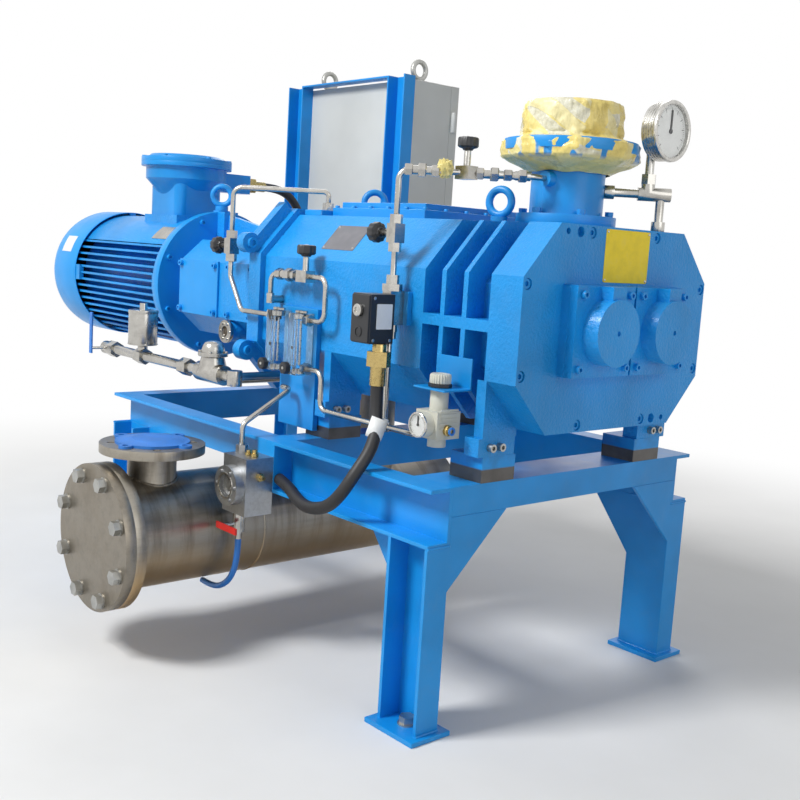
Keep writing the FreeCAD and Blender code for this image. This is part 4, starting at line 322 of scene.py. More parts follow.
BLUE = (0.006, 0.29, 0.74)
MATERIALS = {
    "blue_paint": painted("blue_enamel", BLUE),
    "cast_paint": painted("blue_casting", BLUE, rough=0.36, grain=0.0045, grain_scale=165),
    "stainless": metal("stainless_steel", (0.52, 0.505, 0.47), 0.2, stretch=(1, 0.3, 1),
                       scale=24, stain=(0.2, 0.18, 0.15), relief=0.0001),
    "bright_steel": metal("plated_steel", (0.56, 0.55, 0.52), 0.24, scale=120),
    "machined": metal("machined_steel", (0.42, 0.43, 0.44), 0.35, scale=90),
    "brass_metal": metal("brass", (0.56, 0.42, 0.17), 0.24, scale=120,
                         stain=(0.22, 0.2, 0.08), stains=0.6),
    "black_plastic": moulded("black_plastic", (0.02, 0.021, 0.024), 0.38),
    "blue_plastic": moulded("blue_plastic", (0.03, 0.21, 0.68), 0.4),
    "red_plastic": moulded("red_vinyl", (0.62, 0.02, 0.015), 0.35),
    "cream_plastic": moulded("cream_plastic", (0.6, 0.6, 0.52), 0.4),
    "rubber_hose": moulded("black_sleeve", (0.016, 0.016, 0.018), 0.5, grain=0.0006,
                           grain_scale=260),
    "blue_hose": moulded("blue_hose", (0.02, 0.2, 0.66), 0.3),
    "cabinet_paint": painted("cabinet_powder_coat", (0.6, 0.61, 0.58), rough=0.42,
                             dust=0.05, coat=0.05, depth=0.93),
    "dial_metal": metal("gauge_steel", (0.62, 0.61, 0.58), 0.22, scale=110),
    "clear_plastic": clear("clear_acrylic", (0.96, 0.985, 1), 0.96, 1.34, 60, (0.02, 0.08)),
}
GLASS = clear("gauge_glass", (0.97, 0.98, 0.98), 1, 1.3, 80, (0.01, 0.05))
# The span paints a reflection of brown ground on the lower part of the tank
TANK_STEEL = metal("rolled_tank_steel", (0.36, 0.33, 0.28), 0.36, stretch=(1, 0.12, 1),
                   scale=34, stain=(0.1, 0.07, 0.045), stains=0.75, relief=0.0005,
                   streaks=(0.3, 2.6, 0.3), ground_reflection_span=(0.19, 0.27))
TANK_FACE = metal("sawn_flange_steel", (0.29, 0.26, 0.215), 0.34, scale=46,
                  stain=(0.2, 0.16, 0.11), stains=0.45, relief=0.0003)
YELLOW_SHEET = flat_print("yellow_sheet", (0.95, 0.72, 0.015), 0.4)
GREY_PLATE = flat_print("anodised_plate", (0.17, 0.17, 0.19), 0.35)
WHITE_LABEL = flat_print("white_label", (0.78, 0.8, 0.8), 0.45, 0.06)
DIAL_FACE = flat_print("dial_face", (0.84, 0.84, 0.82), 0.5, 0.05)
DIAL_INK = flat_print("dial_ink", (0.02, 0.02, 0.025), 0.5, 0.1)
OIL_DARK = flat_print("oil_behind_glass", (0.05, 0.032, 0.012), 0.08, 0.3)
# Dark grey used behind the drain sight glass as painted shade
SIGHT_SHADE_GREY = flat_print("sight_painted_shade", (0.16, 0.15, 0.13), 0.5, 0.4)
# Paler than the plate's paint: painted light behind the clear flow meters
METER_LIT_SHEET = flat_print("meter_painted_light", (0.22, 0.5, 0.82), 0.25, 0.2)
WRAPPING = wrapping()
PAINT = (BLUE, 0.0)
ZINC = ((0.45, 0.45, 0.43), 1.0)
DARK_STEEL = ((0.12, 0.115, 0.11), 0.8)

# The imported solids: a finish for each, and softened edges

NODE_FINISHES = {
    "silencer_tank": TANK_STEEL,
    "tank_blind_flange": TANK_FACE,
    "lifting_eyes": two_finishes("eye_bolts", 1.3, PAINT, ZINC),
    "foot_blocks": two_finishes("block_ends", 0.515, DARK_STEEL, PAINT),
    "bright_fasteners": two_finishes("painted_bolts", 0.98, ZINC, PAINT),
}
CAST_NODES = ("pump_housing", "end_cover", "gear_case", "motor_frame", "bearing_covers")
EDGE_WIDTH = {"stainless": 0.0011, "brass_metal": 0.0014, "blue_paint": 0.0012,
              "cast_paint": 0.0022, "cabinet_paint": 0.0015, "black_plastic": 0.0012,
              "cream_plastic": 0.002, "clear_plastic": 0.001}


def soften(obj, width):
    """Round the hard edges of a solid a little, as castings and rolled steel have them."""
    weld = obj.modifiers.new("weld", "WELD")
    weld.merge_threshold = 0.00002
    edge = obj.modifiers.new("edge", "BEVEL")
    edge.width = width
    edge.segments = 2
    edge.limit_method = "ANGLE"
    edge.angle_limit = math.radians(40)
    edge.harden_normals = False


material_of = {entry["node"]: entry["material_slot"]
               for entry in frame["record"]["subparts"]}
for name, obj in nodes.items():
    kind = "cast_paint" if name in CAST_NODES else material_of[name]
    finish = NODE_FINISHES.get(name) or MATERIALS.get(kind)
    if finish:
        obj.data.materials.clear()
        obj.data.materials.append(finish)
    if kind in EDGE_WIDTH:
        soften(obj, EDGE_WIDTH[kind])


# Ways to make new pieces

FULL_TURN = 2 * math.pi
UPWARD = (0, 0, 1)
COVERWARD = (1, 0, 0)
MOTORWARD = (-1, 0, 0)
NEARWARD = (0, -1, 0)
SHARP_ANGLE = math.radians(35)
CORNER_STEPS = 5
LABEL_STEPS = 10
BEAD_SIDES = 7
BEAD_PITCH = 0.004


def piece(name, mesh_or_curve, slot, material=None, body="skid"):
    """Put a new piece in the scene, with its finish and the body it rides on."""
    obj = bpy.data.objects.new(name, mesh_or_curve)
    scene.collection.objects.link(obj)
    mesh_or_curve.materials.append(material or MATERIALS[slot])
    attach(obj, body)
    return obj


def made(maker, name, *sizes, slot, material=None, body="skid", **options):
    """A new piece whose mesh, of the same name, comes from one of the makers below."""
    return piece(name, maker(name, *sizes, **options), slot, material, body)


def facing(place, along, up=UPWARD):
    """A frame at a place whose Z points along a direction and whose Y points up."""
    z = Vector(along).normalized()
    x = Vector(up).cross(z)
    if x.length < 0.01:
        x = Vector((1, 0, 0)) if abs(z.x) < 0.9 else Vector((0, 1, 0))
    x.normalize()
    y = z.cross(x)
    where = Vector(place)
    return Matrix(((x.x, y.x, z.x, where.x), (x.y, y.y, z.y, where.y),
                   (x.z, y.z, z.z, where.z), (0, 0, 0, 1)))


def grid_mesh(name, rows, frame_at=Matrix.Identity(4), closed=True, smooth=True, caps=False):
    """A skin over rows of points, each row a ring or an open line."""
    count = len(rows[0])
    corners = [frame_at @ Vector(point) for row in rows for point in row]
    faces = []
    around = count if closed else count - 1
    for level in range(len(rows) - 1):
        for index in range(around):
            following = (index + 1) % count
            faces.append((level * count + index, level * count + following,
                          (level + 1) * count + following, (level + 1) * count + index))
    if caps:
        faces.append(tuple(reversed(range(count))))
        last = (len(rows) - 1) * count
        faces.append(tuple(range(last, last + count)))
    mesh = bpy.data.meshes.new(name)
    mesh.from_pydata([tuple(corner) for corner in corners], [], faces)
    if smooth:
        mesh.shade_smooth()
        mesh.set_sharp_from_angle(angle=SHARP_ANGLE)
    mesh.update()
    return mesh


def turned_rows(profile, steps, flutes=0, depth=0.0):
    """Rings of points from (radius, height) pairs; flutes cut grooves down the side."""
    rows = []
    for radius, height in profile:
        row = []
        for step in range(steps):
            turn = FULL_TURN * step / steps
            reach = radius
            if flutes:
                reach = radius * (1 - depth * (0.5 + 0.5 * math.cos(flutes * turn)))
            row.append((reach * math.cos(turn), reach * math.sin(turn), height))
        rows.append(row)
    return rows


def lathe(name, profile, place, along, steps=40, **fluting):
    """A solid turned about an axis."""
    return grid_mesh(name, turned_rows(profile, steps, **fluting), facing(place, along),
                     caps=True)


def open_ring(name, profile, place, along, steps=56):
    """A turned ring, closed on itself."""
    return grid_mesh(name, turned_rows(profile + profile[:1], steps), facing(place, along))


def hex_head(name, across, height, place, along):
    """A hexagon nut or bolt head with chamfered corners."""
    corner = across / math.sqrt(3)
    chamfer = across * 0.07
    profile = [(corner - chamfer, 0), (corner, chamfer), (corner, height - chamfer),
               (corner - chamfer, height)]
    return lathe(name, profile, place, along, steps=6)


def slab(name, width, tall, thick, rounding, place, along, up=UPWARD):
    """A plate with rounded corners and an eased rim, lying on a face."""
    ease = min(thick, rounding) * 0.35

    def outline(inset, height):
        row = []
        for quarter, (side, rise) in enumerate(((1, 1), (-1, 1), (-1, -1), (1, -1))):
            for step in range(CORNER_STEPS + 1):
                turn = math.pi / 2 * (quarter + step / CORNER_STEPS)
                reach = rounding - inset
                row.append((side * (width / 2 - rounding) + reach * math.cos(turn),
                            rise * (tall / 2 - rounding) + reach * math.sin(turn), height))
        return row

    rows = [outline(0, 0), outline(0, thick - ease), outline(ease, thick)]
    return grid_mesh(name, rows, facing(place, along, up), caps=True)


def rolled_label(name, centre_y, centre_z, radius, ends, turns, thick):
    """A thin plate bent round a barrel that lies along X."""
    rows = []
    for reach, line in ((radius, ends), (radius + thick, ends[::-1])):
        for end in line:
            row = []
            for step in range(LABEL_STEPS + 1):
                turn = turns[0] + (turns[1] - turns[0]) * step / LABEL_STEPS
                row.append((end, centre_y - reach * math.cos(turn),
                            centre_z + reach * math.sin(turn)))
            rows.append(row)
    rows.append(rows[0])
    return grid_mesh(name, rows, closed=False, smooth=False)


def bead(name, points, radius, closed=False):
    """A weld bead: a lumpy line of overlapping drops along a path."""
    path = [Vector(point) for point in points]
    if closed:
        path.append(path[0])
    rows = []
    travelled = 0
    for here, there in zip(path, path[1:]):
        run = (there - here).length
        along = (there - here).normalized()
        frame_here = facing((0, 0, 0), along, (0.3, 0.2, 1))
        steps = max(2, round(run / BEAD_PITCH * 3))
        for step in range(steps):
            centre = here + along * run * step / steps
            swell = radius * (0.85 + 0.3 * abs(math.sin(math.pi * travelled / BEAD_PITCH)))
            rows.append([centre + frame_here @ Vector(point)
                         for point in turned_rows([(swell, 0)], BEAD_SIDES)[0]])
            travelled += run / steps
    return grid_mesh(name, rows, caps=True)


def arc_points(centre, radius, axes, steps=48):
    """Points on a circle in the plane of two axes."""
    first, second = (Vector(axis) for axis in axes)
    turns = [FULL_TURN * (step / steps) for step in range(steps)]
    return [Vector(centre) + radius * (math.cos(turn) * first + math.sin(turn) * second)
            for turn in turns]


def marks(name, quads):
    """Inked marks on a face, each given by its four corners."""
    corners = [tuple(corner) for quad in quads for corner in quad]
    faces = [tuple(range(first, first + 4)) for first in range(0, len(corners), 4)]
    mesh = bpy.data.meshes.new(name)
    mesh.from_pydata(corners, [], faces)
    return mesh


# Cords, through the same points as their tubes

MOTOR_CONDUIT = [
    (-0.850, 0.185, 1.088), (-0.850, 0.238, 1.088), (-0.848, 0.291, 1.064),
    (-0.845, 0.328, 1.012), (-0.841, 0.343, 0.940), (-0.836, 0.347, 0.868),
    (-0.830, 0.350, 0.790), (-0.824, 0.3535, 0.714), (-0.818, 0.3875, 0.6675),
    (-0.812, 0.4425, 0.6495), (-0.806, 0.4975, 0.6675), (-0.800, 0.5315, 0.714),
    (-0.800, 0.5315, 0.772),
]
SIGNAL_CONDUIT = [
    (0.412, -0.3675, 0.652), (0.412, -0.3675, 0.606), (0.430, -0.378, 0.564),
    (0.446, -0.404, 0.528), (0.446, -0.438, 0.488), (0.430, -0.456, 0.446),
    (0.396, -0.461, 0.412), (0.350, -0.459, 0.396), (0.300, -0.450, 0.390),
    (0.248, -0.434, 0.394), (0.192, -0.412, 0.402), (0.135, -0.398, 0.407),
]
DRAIN_HOSE = [
    (0.056, -0.4475, 0.259), (0.056, -0.4475, 0.215), (0.036, -0.4475, 0.165),
    (-0.004, -0.4475, 0.132), (-0.050, -0.4475, 0.120), (-0.090, -0.4475, 0.122),
]
CORDS = {
    "motor_conduit": (MOTOR_CONDUIT, 0.013, "rubber_hose", "object", "stiff"),
    "signal_conduit": (SIGNAL_CONDUIT, 0.013, "rubber_hose", "object", "stiff"),
    "drain_hose": (DRAIN_HOSE, 0.007, "blue_hose", "bare", "medium"),
}


def cord_curve(name, points, radius):
    """A smooth line through a route's control points, as thick as the cord."""
    curve = bpy.data.curves.new(name, "CURVE")
    curve.dimensions = "3D"
    curve.bevel_depth = radius
    curve.bevel_resolution = 5
    curve.resolution_u = 14
    curve.use_fill_caps = True
    spline = curve.splines.new("NURBS")
    spline.points.add(len(points) - 1)
    for point, place in zip(spline.points, points):
        point.co = (*place, 1)
    spline.order_u = 3
    spline.use_endpoint_u = True
    return curve


def line_points(obj):
    """The points of a curve's own line."""
    plain = obj.data.copy()
    plain.bevel_depth = 0
    holder = bpy.data.objects.new("measure", plain)
    scene.collection.objects.link(holder)
    bpy.context.view_layer.update()
    mesh = bpy.data.meshes.new_from_object(holder)
    corners = [vertex.co.copy() for vertex in mesh.vertices]
    bpy.data.objects.remove(holder)
    return corners


cord_lines = {}
for name, (points, radius, slot, far_end, stiffness) in CORDS.items():
    cord = piece(f"{name}_smooth", cord_curve(name, points, radius), slot)
    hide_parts(name)
    line = line_points(cord)
    cord_lines[name] = line

# Knobs: a fluted grip with a recessed cap, and a bright screw in its middle

KNOB_RADIUS = 0.021
KNOB_LENGTH = 0.026
FLUTE_DEPTH = 0.075
METER_KNOB_RADIUS = 0.014
METER_KNOB_LENGTH = 0.018
VALVE_KNOBS = {
    "case": ((-0.2605, -0.322, 0.905), MOTORWARD),
    "loop": ((0.091, -0.322, 0.8935), UPWARD),
    "stack": ((0.3445, -0.322, 0.954), MOTORWARD),
    "purge": ((0.476, -0.22275, 1.1235), UPWARD),
}
METER_X = {"left": -0.003, "right": 0.084}
REGULATOR_X = 0.554
REGULATOR_Y = -0.330


def knob(name, node, body, place, along, radius=KNOB_RADIUS, length=KNOB_LENGTH,
         slot="black_plastic", flutes=10, screw=True):
    """A hand knob in place of its plain solid."""
    ease = radius * 0.12
    outline = [(radius * 0.45, 0), (radius * 0.55, length * 0.12),
               (radius - ease, length * 0.2), (radius, length * 0.3),
               (radius, length - 1.6 * ease), (radius - 0.5 * ease, length - 0.5 * ease),
               (radius - 1.8 * ease, length), (radius * 0.5, length),
               (radius * 0.46, length - 0.5 * ease), (radius * 0.1, length - 0.5 * ease)]
    grip = made(lathe, name, outline, place, along, steps=10 * flutes, flutes=flutes,
                depth=FLUTE_DEPTH, slot=slot, body=body)
    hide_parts(node)
    if screw:
        top = Vector(place) + Vector(along) * (length - 0.6 * ease)
        head = [(radius * 0.24, 0), (radius * 0.24, ease * 0.7), (radius * 0.14, ease * 0.9),
                (radius * 0.12, ease * 0.4), (radius * 0.02, ease * 0.4)]
        made(lathe, f"{name}_screw", head, top, along, steps=24, slot="bright_steel", body=body)


for label, (place, along) in VALVE_KNOBS.items():
    knob(f"{label}_valve_knob", f"valve_knob_{label}", f"{label}_knob", place, along)
for side, x in METER_X.items():
    knob(f"{side}_flow_knob", f"meter_knob_{side}", f"{side}_meter_knob", (x, -0.3505, 0.646),
         NEARWARD, METER_KNOB_RADIUS, METER_KNOB_LENGTH, flutes=8)
knob("air_pressure_knob", "regulator_knob", "pressure_knob", (REGULATOR_X, REGULATOR_Y, 0.6675),
     UPWARD, slot="cream_plastic", flutes=24, screw=False)

# Inlet flange, wrapped in film and tape for transport

INLET_X = 0.549
WRAP_STEPS = 132
CAN_FOOT = 1.174
SKIRT_TOP = 1.12
WRAP_OUTLINE = [
    (0.086, 1.096), (0.102, 1.105), (0.124, 1.113), (0.138, 1.121), (0.1425, 1.126),
    (0.1435, 1.138), (0.143, 1.156), (0.139, 1.1605), (0.124, 1.163), (0.110, 1.166),
    (0.1055, 1.172), (0.1045, 1.190), (0.104, 1.212), (0.1025, 1.230), (0.098, 1.237),
    (0.078, 1.2395), (0.05, 1.239), (0.02, 1.238), (0.002, 1.238),
]


def wrapped_point(radius, height, turn):
    """A point of the wrapping, pulled flat over the bolts and creased between them."""
    sides, flatness = (10, 0.6) if height > CAN_FOOT else (8, 0.75)
    wedge = FULL_TURN / sides
    offset = (turn % wedge) - wedge / 2
    pulled = radius * (1 - flatness + flatness * math.cos(wedge / 2) / math.cos(offset))
    spot = Vector((math.cos(turn) * 3.2, math.sin(turn) * 3.2, height * 26))
    crease = noise.noise(spot * 2.3) * 0.0032 + noise.noise(spot * 6.1) * 0.0013
    sag = noise.noise(Vector((math.cos(turn) * 2, math.sin(turn) * 2, 7.0))) * 0.004
    lift = sag if height < SKIRT_TOP else 0
    reach = pulled + crease * min(1, radius / 0.06)
    return reach * math.cos(turn), reach * math.sin(turn), height + lift


def dense(outline, steps=5):
    """More points between the points of an outline."""
    fine = []
    for (r0, h0), (r1, h1) in zip(outline, outline[1:]):
        for step in range(steps):
            share = step / steps
            fine.append((r0 + (r1 - r0) * share, h0 + (h1 - h0) * share))
    fine.append(outline[-1])
    return fine


wrap_rows = [[wrapped_point(radius, height, FULL_TURN * step / WRAP_STEPS)
              for step in range(WRAP_STEPS)] for radius, height in dense(WRAP_OUTLINE)]
wrap = made(grid_mesh, "flange_wrapping", wrap_rows, Matrix.Translation((INLET_X, 0, 0)),
            slot="wrap_film", material=WRAPPING)
wrap.data.set_sharp_from_angle(angle=math.radians(70))
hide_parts("inlet_wrap")

# A knot of the same tape round the purge line

TAPE_CENTRE = Vector((0.448, -0.254, 1.086))
TAPE_LEVELS = 14
TAPE_STEPS = 28
POLE_GAP = 0.02


def tape_point(lean, turn):
    """A point of the lumpy knot, in a direction given by two angles."""
    way = Vector((math.sin(lean) * math.cos(turn), math.sin(lean) * math.sin(turn),
                  math.cos(lean)))
    return tuple(way * (0.017 + 0.006 * noise.noise(way * 3.1) + 0.003 * noise.noise(way * 8)))


tape_rows = [[tape_point(math.pi * (level + POLE_GAP) / (TAPE_LEVELS + 2 * POLE_GAP),
                         FULL_TURN * step / TAPE_STEPS) for step in range(TAPE_STEPS)]
             for level in range(TAPE_LEVELS + 1)]
made(grid_mesh, "purge_tape", tape_rows, Matrix.Translation(TAPE_CENTRE), slot="wrap_film",
     material=WRAPPING)

# Couplings along the purge line between the stack and the inlet neck

PURGE_START = Vector((0.564, -0.1235, 1.080))
PURGE_END = Vector((0.388, -0.322, 1.080))
NUT_WIDTHS = {0.05: 0.024, 0.16: 0.021, 0.26: 0.026, 0.37: 0.022, 0.7: 0.022, 0.8: 0.026,
              0.9: 0.022}
SLEEVE_SPANS = ((0.02, 0.4), (0.66, 0.96))
purge_way = (PURGE_END - PURGE_START).normalized()
purge_run = (PURGE_END - PURGE_START).length
for number, (share, across) in enumerate(NUT_WIDTHS.items()):
    made(hex_head, f"purge_nut_{number}", across, 0.016,
         PURGE_START + purge_way * purge_run * share, purge_way, slot="stainless")
for number, (first, last) in enumerate(SLEEVE_SPANS):
    run = purge_run * (last - first)
    sleeve = [(0.0085, 0), (0.009, 0.001), (0.009, run * 0.3), (0.0078, run * 0.32),
              (0.0078, run * 0.6), (0.009, run * 0.62), (0.009, run - 0.001), (0.0085, run)]
    made(lathe, f"purge_sleeve_{number}", sleeve, PURGE_START + purge_way * purge_run * first,
         purge_way, steps=28, slot="stainless")

# Gauge faces with ticks, their glass and their rims

TICK_LIFT = 0.00036
FINE_TICKS = 5
DIAL_SWEEP = 1.5 * math.pi


def dial(name, centre, along, radius, glass_lift, ticks=11):
    """A white face with generic ticks and a clear pane."""
    face = [(radius * 0.02, 0.0001), (radius, 0.0001), (radius, 0.0002),
            (radius * 0.02, 0.0003)]
    made(lathe, f"{name}_face", face, centre, along, steps=60, slot="dial_metal",
         material=DIAL_FACE)
    frame_here = facing(centre, along)
    quads = []
    count = (ticks - 1) * FINE_TICKS
    for number in range(count + 1):
        turn = math.pi / 2 + DIAL_SWEEP / 2 - DIAL_SWEEP * number / count
        major = number % FINE_TICKS == 0
        inner = radius * (0.74 if major else 0.82)
        outer = radius * 0.9
        half = radius * (0.013 if major else 0.006)
        out = Vector((math.cos(turn), math.sin(turn), 0))
        side = Vector((-math.sin(turn), math.cos(turn), 0))
        lift = Vector((0, 0, TICK_LIFT))
        quads.append([frame_here @ corner for corner in (
            out * inner - side * half + lift, out * outer - side * half + lift,
            out * outer + side * half + lift, out * inner + side * half + lift)])
    made(marks, f"{name}_ticks", quads, slot="black_plastic", material=DIAL_INK)
    pane = [(radius * 0.02, 0), (radius, 0), (radius, 0.0006), (radius * 0.02, 0.0009)]
    made(lathe, f"{name}_pane", pane, Vector(centre) + Vector(along) * glass_lift, along,
         steps=48, slot="clear_plastic", material=GLASS)


GAUGE_Y = 0.11597
GAUGE_Z = 1.190
AIR_DIAL_Z = 0.597
dial("vacuum_dial", (0.706, GAUGE_Y, GAUGE_Z), COVERWARD, 0.0525, 0.0062)
dial("air_dial", (REGULATOR_X, -0.380, AIR_DIAL_Z), NEARWARD, 0.0212, 0.0032, ticks=9)
VACUUM_BEZEL = [(0.0535, 0), (0.0605, 0.0005), (0.0612, 0.003), (0.0605, 0.008),
                (0.059, 0.0095), (0.0545, 0.0098), (0.0525, 0.008)]
made(open_ring, "vacuum_bezel", VACUUM_BEZEL, (0.7055, GAUGE_Y, GAUGE_Z), COVERWARD,
     slot="dial_metal")
AIR_BEZEL = [(0.0215, 0), (0.0247, 0.0004), (0.0252, 0.002), (0.0247, 0.004), (0.0235, 0.005),
             (0.0215, 0.0048)]
made(open_ring, "air_bezel", AIR_BEZEL, (REGULATOR_X, -0.3795, AIR_DIAL_Z), NEARWARD,
     slot="dial_metal")
RIB_OUTLINE = [(0.0575, 0), (0.0592, 0.0008), (0.0592, 0.0026), (0.0575, 0.0034)]
RIB_COUNT = 4
RIB_START = 0.681
RIB_PITCH = 0.006
for number in range(RIB_COUNT):
    made(open_ring, f"gauge_rib_{number}", RIB_OUTLINE,
         (RIB_START + RIB_PITCH * number, GAUGE_Y, GAUGE_Z), COVERWARD, slot="dial_metal")

# Sight glasses and the sight block's plugs

SIGHT_X = 0.085
SIGHT_Z = 0.393
BLOCK_Y = -0.4475
SIGHT_PANE = [(0.0005, 0), (0.0238, 0), (0.0238, 0.0012), (0.0005, 0.0018)]
made(lathe, "drain_sight_pane", SIGHT_PANE, (SIGHT_X, -0.4945, SIGHT_Z), NEARWARD,
     slot="clear_plastic", material=GLASS)
# A dark disc just behind the sight glass: painted shade of the hollow behind the glass
SIGHT_BACK = [(0.0005, 0.0002), (0.0236, 0.0002), (0.0236, 0.0006), (0.0005, 0.0006)]
made(lathe, "drain_sight_back", SIGHT_BACK, (SIGHT_X, -0.4936, SIGHT_Z), NEARWARD,
     slot="dial_metal", material=SIGHT_SHADE_GREY)
SIGHT_RING = [(0.0242, 0), (0.029, 0), (0.0295, 0.0012), (0.029, 0.0024), (0.0242, 0.0018)]
made(open_ring, "drain_sight_ring", SIGHT_RING, (SIGHT_X, -0.5044, SIGHT_Z), NEARWARD,
     slot="stainless")
OIL_PANE = [(0.0005, 0), (0.0138, 0), (0.0138, 0.001), (0.0005, 0.0022)]
made(lathe, "oil_sight_pane", OIL_PANE, (-0.307, -0.2727, 0.688), NEARWARD,
     slot="clear_plastic", material=OIL_DARK)
PLUGS = ((0.108, 0.016), (SIGHT_X, 0.012))
for number, (x, tall) in enumerate(PLUGS):
    plug = [(0.006, 0), (0.0085, 0.001), (0.0085, tall * 0.5), (0.006, tall * 0.55),
            (0.006, tall), (0.0035, tall)]
    made(lathe, f"brass_plug_{number}", plug, (x, BLOCK_Y, 0.4555), UPWARD, steps=24,
         slot="brass_metal")
SIDE_PLUG = [(0.009, 0), (0.0095, 0.001), (0.0095, 0.007), (0.006, 0.008), (0.006, 0.016),
             (0.0035, 0.0165)]
made(lathe, "brass_plug_side", SIDE_PLUG, (0.130, BLOCK_Y, 0.415), COVERWARD, steps=6,
     slot="brass_metal")

# Flow meters: bored tubes, floats and scale marks behind clear fronts

FRONT_Y = -0.344
BACK_Y = -0.3006
METER_MIDDLE = 0.699
BORES = {"wide": (-0.0065, 0.0042, GLASS), "slim": (0.0075, 0.0026, MATERIALS["bright_steel"])}
BORE_LENGTH = 0.1
FLOAT_OUTLINE = [(0.0008, 0), (0.0044, 0.003), (0.0046, 0.008), (0.0014, 0.0085)]
CAP_Y = -0.322
CAPS = {"high": (0.7545, 0.012), "low": (0.6315, 0.013)}
STUD_NUT = [(0.006, 0), (0.009, 0.0008), (0.009, 0.005), (0.0075, 0.006)]
STUDS = {"a": -0.009, "b": 0.009}
SCALE_MARKS = 21
SCALE_START = 0.664
SCALE_PITCH = 0.0042
MARK_HEIGHT = 0.0007
for side, x in METER_X.items():
    # A paler blue sheet behind each clear block: painted light, standing in for light reaching the
    # plate through the block
    made(slab, f"{side}_backing", 0.0345, 0.136, 0.0008, 0.002, (x, BACK_Y, METER_MIDDLE),
         NEARWARD, slot="blue_paint", material=METER_LIT_SHEET)
    for label, (across, radius, finish) in BORES.items():
        bore = [(radius * 0.4, 0), (radius, 0), (radius, BORE_LENGTH),
                (radius * 0.4, BORE_LENGTH)]
        made(lathe, f"{side}_bore_{label}", bore, (x + across, -0.330, 0.652), UPWARD,
             steps=20, slot="clear_plastic", material=finish)
    made(lathe, f"{side}_float", FLOAT_OUTLINE, (x - 0.0065, -0.336, 0.686), UPWARD, steps=20,
         slot="black_plastic")
    for label, (level, tall) in CAPS.items():
        cap = [(0.0105, 0), (0.0118, 0.001), (0.0118, tall - 0.001), (0.0105, tall)]
        made(lathe, f"{side}_cap_{label}", cap, (x, CAP_Y, level), UPWARD, steps=28,
             slot="stainless")
    for label, shift in STUDS.items():
        made(lathe, f"{side}_stud_{label}", STUD_NUT, (x + shift, CAP_Y, 0.768), UPWARD,
             steps=6, slot="stainless")
    start = x + 0.0005
    mark_y = FRONT_Y - 0.0002
    quads = []
    for number in range(SCALE_MARKS):
        low = SCALE_START + SCALE_PITCH * number
        end = start + (0.0085 if number % 5 == 0 else 0.0048)
        quads.append([(start, mark_y, low), (end, mark_y, low),
                      (end, mark_y, low + MARK_HEIGHT), (start, mark_y, low + MARK_HEIGHT)])
    made(marks, f"{side}_scale", quads, slot="black_plastic", material=DIAL_INK)

# Solenoid coil: a cover plate, its round nut, a ring, a bare label and rivets

COIL_LOW, COIL_HIGH = (Vector(corner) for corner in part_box("solenoid_coil"))
coil_middle = (COIL_LOW + COIL_HIGH) / 2
COVER_THICK = 0.004
NUT_X = coil_middle.x - 0.002
made(slab, "coil_cover", 0.054, 0.094, COVER_THICK, 0.003,
     (coil_middle.x, COIL_LOW.y, coil_middle.z), NEARWARD, slot="black_plastic")
COIL_NUT = [(0.0115, 0), (0.0125, 0.001), (0.0125, 0.006), (0.0112, 0.0075), (0.006, 0.008),
            (0.0055, 0.006), (0.0008, 0.006)]
made(lathe, "coil_nut", COIL_NUT, (NUT_X, COIL_LOW.y - COVER_THICK, 0.8), NEARWARD, steps=36,
     slot="bright_steel")
COIL_RING = [(0.009, 0), (0.0105, 0.0006), (0.0105, 0.0012), (0.009, 0.0018), (0.0085, 0.001)]
made(open_ring, "coil_mark", COIL_RING, (NUT_X, COIL_LOW.y - COVER_THICK, 0.757), NEARWARD,
     slot="black_plastic")
made(slab, "coil_label", 0.04, 0.05, 0.0007, 0.002,
     (COIL_HIGH.x, coil_middle.y + 0.005, 0.789), COVERWARD, slot="cream_plastic",
     material=WHITE_LABEL)
COIL_RIVETS = ((-0.389, 0.825), (-0.389, 0.742), (-0.346, 0.742))
for number, (y, z) in enumerate(COIL_RIVETS):
    made(hex_head, f"coil_rivet_{number}", 0.006, 0.0015, (COIL_HIGH.x, y, z), COVERWARD,
         slot="bright_steel")

# Bonnet of the water valve: a bolted disc with a dome over the plain cone

CAN_LOW, CAN_HIGH = (Vector(corner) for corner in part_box("transmitter"))
can_middle = (CAN_LOW + CAN_HIGH) / 2
CAN_RADIUS = (CAN_HIGH.x - CAN_LOW.x) / 2
CAN_TOP = CAN_HIGH.z - 0.018
BONNET_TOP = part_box("water_pipe")[1][2]
BONNET = (-0.189, can_middle.y, BONNET_TOP)
DISC = [(0.024, -0.031), (0.035, -0.031), (0.0362, -0.0298), (0.0362, -0.0232), (0.035, -0.022),
        (0.024, -0.022)]
made(lathe, "bonnet_disc", DISC, BONNET, UPWARD, steps=56, slot="stainless")
DOME = [(0.0275, -0.023), (0.0275, -0.016), (0.0262, -0.010), (0.0238, -0.004),
        (0.0205, 0.0008), (0.0145, 0.0042), (0.007, 0.0058), (0.0004, 0.0062)]
made(lathe, "bonnet_dome", DOME, BONNET, UPWARD, steps=56, slot="stainless")
BONNET_BOLTS = 4
BOLT_CIRCLE = 0.0315
for number in range(BONNET_BOLTS):
    turn = FULL_TURN * (number + 0.5) / BONNET_BOLTS
    spot = (BONNET[0] + BOLT_CIRCLE * math.cos(turn), BONNET[1] + BOLT_CIRCLE * math.sin(turn),
            BONNET_TOP - 0.022)
    made(hex_head, f"bonnet_bolt_{number}", 0.008, 0.004, spot, UPWARD, slot="bright_steel")
CAN_RIMS = ((CAN_TOP - 0.009, 0.009), (CAN_LOW.z, 0.004))
